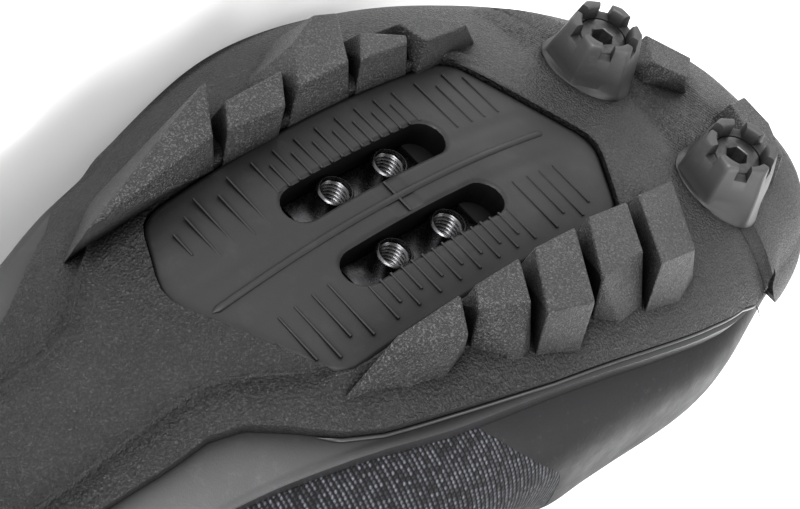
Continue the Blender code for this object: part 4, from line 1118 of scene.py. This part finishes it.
def makeShell():
    rows = stationRow(0.0, tread["shellToe"], shell["pitch"], tread["coarse"])
    count = rowCount(shell["across"])
    a = rowAngles(rows, -edgeAngle(4, rows), edgeAngle(3, rows), count)
    s = np.repeat(rows[:, None], count, 1)
    on, normal = lastPoint(s, a), lastNormal(s, a)
    share = np.abs(np.linspace(-1, 1, count))[None, :]
    rounded = np.clip(1 - (1 - np.minimum((1 - share) / shell["round"], 1.0)) ** 3, 0.15, 1)
    bead = shell["bead"] * np.exp(-(((share - shell["beadAt"]) / 0.012) ** 2)) * step((s - 0.2) / 0.1)
    least = last["gap"] + shell["least"]
    lift = least + (tread["shell"] - least) * rounded + bead
    mesh = shellMesh("shell", on + lift[..., None] * normal, on + last["gap"] * normal)
    mesh = carve(mesh, sideTrim(tread["shellCup"]))
    x, y = nuts["length"] / 2 + last["gap"], nuts["width"] / 2 + last["gap"]
    window = [(insert["slotAt"] + i * x, j * y) for i, j in fourCorners]
    mesh = carve(mesh, prismMesh(window, "XY", 0.0, 0.02))
    place("soleShell", mesh, finishes["shell"], ["sole_shell"], "sole shell plastic", 40)


makeShell()


# A fine rounded lip along the shell's inner side.
lip = {"stations": (0.52, 0.842), "rows": 240, "past": 0.5, "lift": 0.00025, "radius": 0.00042}


def makeLip():
    rows = np.linspace(*lip["stations"], lip["rows"])
    angles = edgeAngle(1, rows) + lip["past"]
    normal = lastNormal(rows, angles)
    middle = lastPoint(rows, angles) + (tread["shell"] + lip["lift"]) * normal
    beside = np.cross(normal, unit(np.gradient(middle, axis=0)))
    turn, taper = np.linspace(0, 2 * math.pi, 13), fromEnds(len(rows), 6, 0.08)
    rings = tubeRings(middle, beside, normal, lip["radius"], lip["radius"], turn, taper)
    place("randLip", ringMesh("randLip", rings), finishes["shell"], slot="sole shell plastic", sharp=60)


makeLip()
print("sole made")


# The upper
upper = {
    "wall": 0.0020, "padding": 0.0040, "paddingDepth": 0.030, "throat": (0.360, 0.655), "throatWidth": 0.030,
    "pitch": (0.0017, 0.0019), "around": 250, "underEdge": 26,
    "collar": ((-0.030, 0.800), (0.030, 0.785), (0.085, 0.735), (0.150, 0.675), (0.215, 0.668),
               (0.280, 0.735), (0.340, 0.850), (0.385, 0.960), (0.400, 1.060)),
    # creases: station, angle, how far they run in angle, lean, width in metres, depth
    "creases": (
        (0.640, 112, 26, 0.020, 0.0046, 0.0006), (0.672, 116, 24, 0.024, 0.0040, 0.0005),
        (0.705, 124, 22, 0.018, 0.0036, 0.0004), (0.645, -104, 32, 0.020, 0.0040, 0.0010),
        (0.680, -101, 28, 0.022, 0.0036, 0.0008), (0.712, -108, 24, 0.018, 0.0032, 0.0006),
        (0.300, 112, 22, -0.030, 0.0050, 0.0012), (0.262, 106, 20, -0.024, 0.0044, 0.0009),
        (0.300, -112, 22, -0.030, 0.0050, 0.0012), (0.258, -106, 20, -0.024, 0.0044, 0.0009),
        (0.520, 92, 20, 0.014, 0.0042, 0.0006), (0.520, -92, 20, 0.014, 0.0042, 0.0006),
    ),
    # where the smooth film over the toe begins, as angle and millimetres ahead of the barrels
    "film": ((30, -13.5), (40.5, -11.0), (54.6, -7.0), (68, -2.9), (81.6, 2.0), (100, 5.5), (120, 11),
             (136, 13), (150, 13), (180, 13)),
    "filmWall": 0.00028, "filmEdge": 0.00006, "filmRows": (110, 200),
}


def collarHeight(s):
    line = np.array(upper["collar"])
    return last["instep"] * np.interp(s, line[:, 0], line[:, 1])


# Soft troughs with a low ridge on both sides.
def creased(s, a):
    depth = np.zeros(np.shape(s))
    for station, angle, run, lean, width, deep in upper["creases"]:
        along = (a - angle) / run
        away = (s - station - lean * along) * last["length"] / width
        fade = np.exp(-(along ** 2) * 1.6)
        depth += deep * fade * (-np.exp(-away ** 2) + 0.45 * np.exp(-(np.abs(away) - 1.7) ** 2))
    return depth


def paddingAt(s, z):
    below = (collarHeight(s) - z) / upper["paddingDepth"]
    return upper["padding"] * step(1.15 - np.abs(below)) * step((upper["throat"][0] + 0.03 - s) / 0.08)


# The upper's outer face and its normals.
def skin(s, a):
    on, normal = lastPoint(s, a), lastNormal(s, a)
    return on + creased(s, a)[..., None] * normal, normal


# Lengths along the last and round it, for a cloth's pattern.
def ringMap(s, a):
    steps = np.linalg.norm(np.diff(lastPoint(s, a), axis=1), axis=-1)
    around = np.cumsum(np.concatenate([np.zeros((len(s), 1)), steps], 1), 1)
    middle = around[:, around.shape[1] // 2][:, None]
    return np.stack([last["length"] * s, around - middle], -1)


# 1 for each face of a hollow mesh that looks inwards, to the shoe's long middle line.
def insideFaces(mesh):
    centres, normals = np.empty(len(mesh.polygons) * 3), np.empty(len(mesh.polygons) * 3)
    mesh.polygons.foreach_get("center", centres)
    mesh.polygons.foreach_get("normal", normals)
    centres, normals = centres.reshape(-1, 3), normals.reshape(-1, 3)
    axis = np.zeros_like(centres)
    axis[:, 0] = np.clip(centres[:, 0], heelTip + 0.045, last["toTip"] - 0.04)
    axis[:, 2] = 0.045
    return (((centres - axis) * normals).sum(1) < 0).astype(np.int32)


def makeUpper():
    rows = stationRow(0.0, 1.0, *upper["pitch"])
    margin = upper["underEdge"] * step((rows - 0.035) / 0.04) * step((0.955 - rows) / 0.04)
    half = rowAngles(rows, margin, np.full(len(rows), 180.0), rowCount(upper["around"]) // 2)
    a = np.concatenate([half, -half[:, ::-1][:, 1:]], 1)
    s = np.repeat(rows[:, None], a.shape[1], 1)
    outer, normal = skin(s, a)
    on = lastPoint(s, a)
    inner = on - (upper["wall"] + paddingAt(s, on[..., 2]))[..., None] * normal
    mesh = shellMesh("upper", outer, inner, uv=ringMap(s, a))
    # the collar and the throat are cut out
    line = np.array(upper["collar"])
    curve = smoothCurve(line[:, 0], line[:, 1])
    rim = [(heelTip + t * last["length"], float(curve(t)) * last["instep"])
           for t in np.linspace(line[0, 0], line[-1, 0], 60)]
    high = last["instep"] * 1.5
    collar = prismMesh(rim + [(rim[-1][0], high), (rim[0][0], high)], "XZ", -last["ball"], last["ball"])
    mesh = carve(mesh, collar)
    back, front = (heelTip + t * last["length"] for t in upper["throat"])
    wide = upper["throatWidth"] / 2
    slot = [(back, -wide)]
    for t in np.linspace(-math.pi / 2, math.pi / 2, 21):
        slot.append((front - wide + wide * math.cos(t), wide * math.sin(t)))
    mesh = carve(mesh, prismMesh(slot + [(back, wide)], "XY", last["side"] * 0.8, high))
    inside = insideFaces(mesh)
    place("upperShell", mesh, finishes["cloth"], ["upper"], "upper film and cloth", 50, finishes["lining"])
    mesh.polygons.foreach_set("material_index", inside)


makeUpper()


# The smooth film over the toe, from its slanting edge to the tip.
def makeFilm():
    deep, count = (rowCount(k) for k in upper["filmRows"])
    turned = np.linspace(30, 330, count)
    angles = np.where(turned > 180, turned - 360, turned)
    line = np.array(upper["film"], float)
    start = (np.interp(np.abs(angles), line[:, 0], line[:, 1]) / 1000 - heelTip) / last["length"]
    first = np.arccos(1 - 2 * start) / math.pi
    t = np.linspace(0, 1, deep)
    s = (1 - np.cos(math.pi * (first[None, :] + (1 - first)[None, :] * t[:, None]))) / 2
    on, normal = skin(s, np.repeat(angles[None, :], deep, 0))
    border = np.minimum(t * 90, 1.0)[:, None, None]
    outer = on + (upper["filmEdge"] + (upper["filmWall"] - upper["filmEdge"]) * border) * normal
    mesh = shellMesh("toeFilm", outer, on - 0.0004 * normal)
    place("toeFilm", mesh, finishes["film"], slot="upper film and cloth", sharp=45)


makeFilm()
print("upper made")


# Straps, tongue and insole
straps = {
    "width": 0.022, "thickness": 0.0018, "along": 150, "across": 34, "sag": 0.00016,
    # name, station, slant, lowest
    "rows": (("front", 0.625, 0.12, 0.90), ("middle", 0.530, 0.12, 0.98), ("instep", 0.432, 0.06, 1.02)),
}


# Stations where a line that leans in side view meets the upper, for each angle.
def leaningStations(middle, lean, ridge, angles):
    fine = np.linspace(0.30, 0.80, 401)
    grid = lastPoint(fine[:, None], angles[None, :])
    miss = grid[..., 0] - (middle + lean * (ridge - grid[..., 2]))
    return np.array([np.interp(0.0, miss[:, k], fine) for k in range(len(angles))])


# Lays one strap over the upper and gives the two lines of its seams.
def makeStrap(name, station, slant, low):
    count, across = rowCount(straps["along"]), rowCount(straps["across"])
    ridge = last["instep"] * curves["top"](station)
    middle = heelTip + last["length"] * station
    search = np.linspace(60, 180, 600)
    heights = lastPoint(leaningStations(middle, slant, ridge, search), search)[..., 2]
    lowest = np.interp(low * last["side"], heights[:300], search[:300])
    angles = np.concatenate([np.linspace(lowest, 180, count // 2), -np.linspace(180, lowest, count // 2)[1:]])
    share = np.sin(np.linspace(-math.pi / 2, math.pi / 2, across))
    half = straps["width"] / 2
    lines = np.array([leaningStations(middle + half * t, slant, ridge, angles) for t in share])
    on, normal = skin(lines, np.repeat(angles[None, :], across, 0))
    soft = np.sqrt(np.maximum(1 - np.abs(share) ** 10, 0))[:, None]
    sag = straps["sag"] * np.sin(angles * 0.21 + station * 40)[None, :]
    thick = straps["thickness"] * (0.35 + 0.65 * soft) * fromEnds(len(angles), 2.5, 0.3)[None, :]
    outer = on + (last["gap"] + np.maximum(thick + sag, 0.0003))[..., None] * normal
    inner = on + 0.00008 * normal
    length = np.cumsum(np.concatenate([[0], np.linalg.norm(np.diff(on[across // 2], axis=0), axis=1)]))
    uv = np.stack([np.repeat(share[:, None] * half, len(angles), 1),
                   np.repeat(length[None, :], across, 0)], -1)
    mesh = shellMesh(f"strap{name}", outer, inner, uv=uv)
    place(f"strap{name.title()}", mesh, finishes["webbing"], [f"strap_{name}"], "strap webbing", 45)
    return [outer[k] + 0.0001 * normal[k] for k in (3, across - 4)]


stitchLines = []
for row in straps["rows"]:
    stitchLines += makeStrap(*row)


tongue = {"stations": (0.285, 0.700), "angles": (136, 224), "rows": (120, 90), "thickness": 0.0035,
          "puff": 0.0003}


def makeTongue():
    deep, count = (rowCount(k) for k in tongue["rows"])
    rows, angles = np.linspace(*tongue["stations"], deep), np.linspace(*tongue["angles"], count)
    a = np.repeat(np.where(angles > 180, angles - 360, angles)[None, :], deep, 0)
    s = np.repeat(rows[:, None], count, 1)
    on, normal = lastPoint(s, a), lastNormal(s, a)
    low = -(upper["wall"] + upper["padding"] + last["gap"])
    near = -(upper["wall"] + last["gap"])
    face = near + (low - near) * step((0.46 - s) / 0.09)
    rim = np.minimum(fromEnds(deep, 3)[:, None], fromEnds(count, 3)[None, :])
    soft = 0.4 + 0.6 * np.sqrt(1 - (1 - rim) ** 2)
    pinch = tongue["thickness"] * (1 - soft) * 0.5
    puff = tongue["puff"] * np.sin(s * 90) * step((0.42 - s) / 0.04)
    outer = on + (face - pinch + np.minimum(puff, 0))[..., None] * normal
    inner = on + (face - tongue["thickness"] + pinch)[..., None] * normal
    uv = np.stack([s * last["length"], (a % 360) * 0.0007], -1)
    mesh = shellMesh("tongue", outer, inner, uv=uv)
    piece = place("tongue", mesh, finishes["tongue"], ["tongue"], "tongue cloth", 50)


makeTongue()


insole = {"stations": (0.0265, 0.970), "rows": (150, 60), "edge": (20, 30), "thickness": 0.0030,
          "round": 0.00035}


def makeInsole():
    (first, end), (deep, count) = insole["stations"], (rowCount(k) for k in insole["rows"])
    rows, top = np.linspace(first, end, deep), -(upper["wall"] + 2 * last["gap"])
    least, more = insole["edge"]
    edge = least + more * np.minimum(np.minimum(rows - first, end - rows) / 0.03, 1) ** 0.5
    a = rowAngles(rows, -edge, edge, count)
    s = np.repeat(rows[:, None], count, 1)
    on, normal = lastPoint(s, a), lastNormal(s, a)
    soft = insole["round"] * (np.abs(np.linspace(-1, 1, count)) ** 12)[None, :, None]
    outer = on + (top - soft) * normal
    inner = on + (top - insole["thickness"] + soft) * normal
    mesh = shellMesh("insole", outer, inner, uv=np.stack([s * last["length"], a * 0.0009], -1))
    place("insole", mesh, finishes["foam"], ["insole"], "insole foam", 50)


makeInsole()
print("straps, tongue and insole made")


# Seams of small stitches, set along lines by a node tree, and the soft binding of the collar.
seams = {"step": 0.0026, "length": 0.0018, "width": 0.00042, "bind": 0.0021, "below": 0.0075}


def stitchTree(material):
    tree, given = newTree("stitches", Step=seams["step"], Length=seams["length"], Width=seams["width"])
    line = node(tree, "GeometryNodeMeshToCurve", {"Mesh": given["Geometry"]})
    places = node(tree, "GeometryNodeCurveToPoints", {"Curve": line.outputs[0], "Length": given["Step"]},
                  mode="LENGTH").outputs
    bead = node(tree, "GeometryNodeMeshUVSphere", {"Segments": 8, "Rings": 6, "Radius": 0.5})
    size = node(tree, "ShaderNodeCombineXYZ", {0: given["Width"], 1: given["Width"], 2: given["Length"]})
    stitches = node(tree, "GeometryNodeInstanceOnPoints",
                    {"Points": places["Points"], "Rotation": places["Rotation"],
                     "Instance": bead.outputs["Mesh"], "Scale": size.outputs[0]})
    return endTree(tree, stitches, material)


def lineMesh(lines):
    points, edges = [], []
    for line in lines:
        edges += [(len(points) + k, len(points) + k + 1) for k in range(len(line) - 1)]
        points += [tuple(p) for p in line]
    mesh = bpy.data.meshes.new("seam")
    mesh.from_pydata(points, edges, [])
    return mesh


# The collar's rim on one side, from the heel's ridge to the throat, lowered by drop and moved by into
# along the last's normal, both in metres.
def collarRim(side, drop, into):
    line, search = [], np.linspace(92, 179.5, 300)
    for s in np.linspace(0.004, upper["throat"][0], 90):
        heights = lastPoint(np.full(300, s), search)[:, 2]
        wanted = float(collarHeight(s)) - drop
        if heights[-1] >= wanted:
            at = np.array([s]), np.array([side * float(np.interp(wanted, heights, search))])
            line.append(lastPoint(*at)[0] + into * lastNormal(*at)[0])
    return line


def makeBinding():
    rim = np.array(collarRim(1, 0.0006, -0.003)[::-1] + collarRim(-1, 0.0006, -0.003))
    for k in range(4):
        rim[1:-1] = (rim[:-2] + 2 * rim[1:-1] + rim[2:]) / 4
    along = unit(np.gradient(rim, axis=0))
    sideways = unit(np.cross(along, np.array([0.0, 0.0, 1.0])))
    turn = np.linspace(0, 2 * math.pi, 21)
    rings = tubeRings(rim, sideways, np.cross(sideways, along), seams["bind"] * 1.25, seams["bind"] * 0.75,
                      turn, fromEnds(len(rim), 2, 0.3))
    length = np.cumsum(np.concatenate([[0], np.linalg.norm(np.diff(rim, axis=0), axis=1)]))
    uv = np.stack([np.repeat(length[:, None], len(turn), 1),
                   np.repeat(turn[None, :] * seams["bind"], len(rim), 0)], -1)
    binding = ringMesh("binding", rings, uv=uv)
    place("collarBinding", binding, finishes["tongue"], slot="tongue cloth", sharp=60)


makeBinding()
seamLines = stitchLines + [collarRim(side, seams["below"], 0.0002) for side in (1, -1)]
stitches = grown(lineMesh(seamLines), stitchTree(finishes["thread"]))
place("stitches", stitches, finishes["thread"], slot="strap webbing", sharp=60)
print("seams made")


# Floor and backdrop, lights and camera
studio = {
    "floor": (0.93, 0.93, 0.93), "size": 9.0, "sky": 1.0, "lookAt": (0.0, 0.0, 0.045),
    # direction, distance, size and power of each soft lamp
    "lamps": {"low": ((0.75, -1.1, 0.16), 1.1, 0.6, 26), "high": ((-0.3, -0.5, 1.0), 1.3, 0.7, 10),
              "top": ((0.5, 0.1, 1.0), 1.3, 0.35, 12), "back": ((-0.8, 0.6, 0.5), 1.4, 0.8, 8)},
    # the camera in the last's own frame
    "lens": 95.85, "sensor": 36, "near": 0.02, "eye": (-0.20408, 0.11084, -0.23247),
    "right": (0.6944, 0.6556, -0.2967), "down": (-0.3814, 0.6849, 0.6209),
    "forward": (0.6102, -0.318, 0.7256),
}


def makeStage():
    size = studio["size"]
    mesh = bpy.data.meshes.new("floor")
    mesh.from_pydata([(size * i, size * j, 0) for i, j in fourCorners], [], [(0, 1, 2, 3)])
    mesh.materials.append(newMaterial("paperFloor", studio["floor"], 0.85)[0])
    floor = bpy.data.objects.new("floor", mesh)
    scene.collection.objects.link(floor)
    world = bpy.data.worlds.new("studio")
    world.use_nodes = True
    world.node_tree.nodes["Background"].inputs[0].default_value = (1, 1, 1, 1)
    world.node_tree.nodes["Background"].inputs[1].default_value = studio["sky"]
    scene.world = world


def softLight(name, direction, distance, size, power):
    data = bpy.data.lights.new(name, "AREA")
    data.shape, data.size, data.energy = "DISK", size, power
    light = bpy.data.objects.new(name, data)
    way = Vector(direction).normalized()
    light.location = Vector(studio["lookAt"]) + way * distance
    light.rotation_euler = (-way).to_track_quat("-Z", "Y").to_euler()
    scene.collection.objects.link(light)


def makeCamera():
    right, down, forward = (Vector(studio[key]) for key in ("right", "down", "forward"))
    turn = Matrix((right, -down, -forward)).transposed().to_4x4()
    data = bpy.data.cameras.new("camera")
    data.lens, data.sensor_width, data.clip_start = studio["lens"], studio["sensor"], studio["near"]
    camera = bpy.data.objects.new("camera", data)
    camera.matrix_world = laid @ Matrix.Translation(studio["eye"]) @ turn
    scene.collection.objects.link(camera)
    scene.camera = camera


makeStage()
for lampName, lampRow in studio["lamps"].items():
    softLight(lampName, *lampRow)
makeCamera()
scene.view_settings.view_transform = "Standard"
print("floor, lights and camera made")
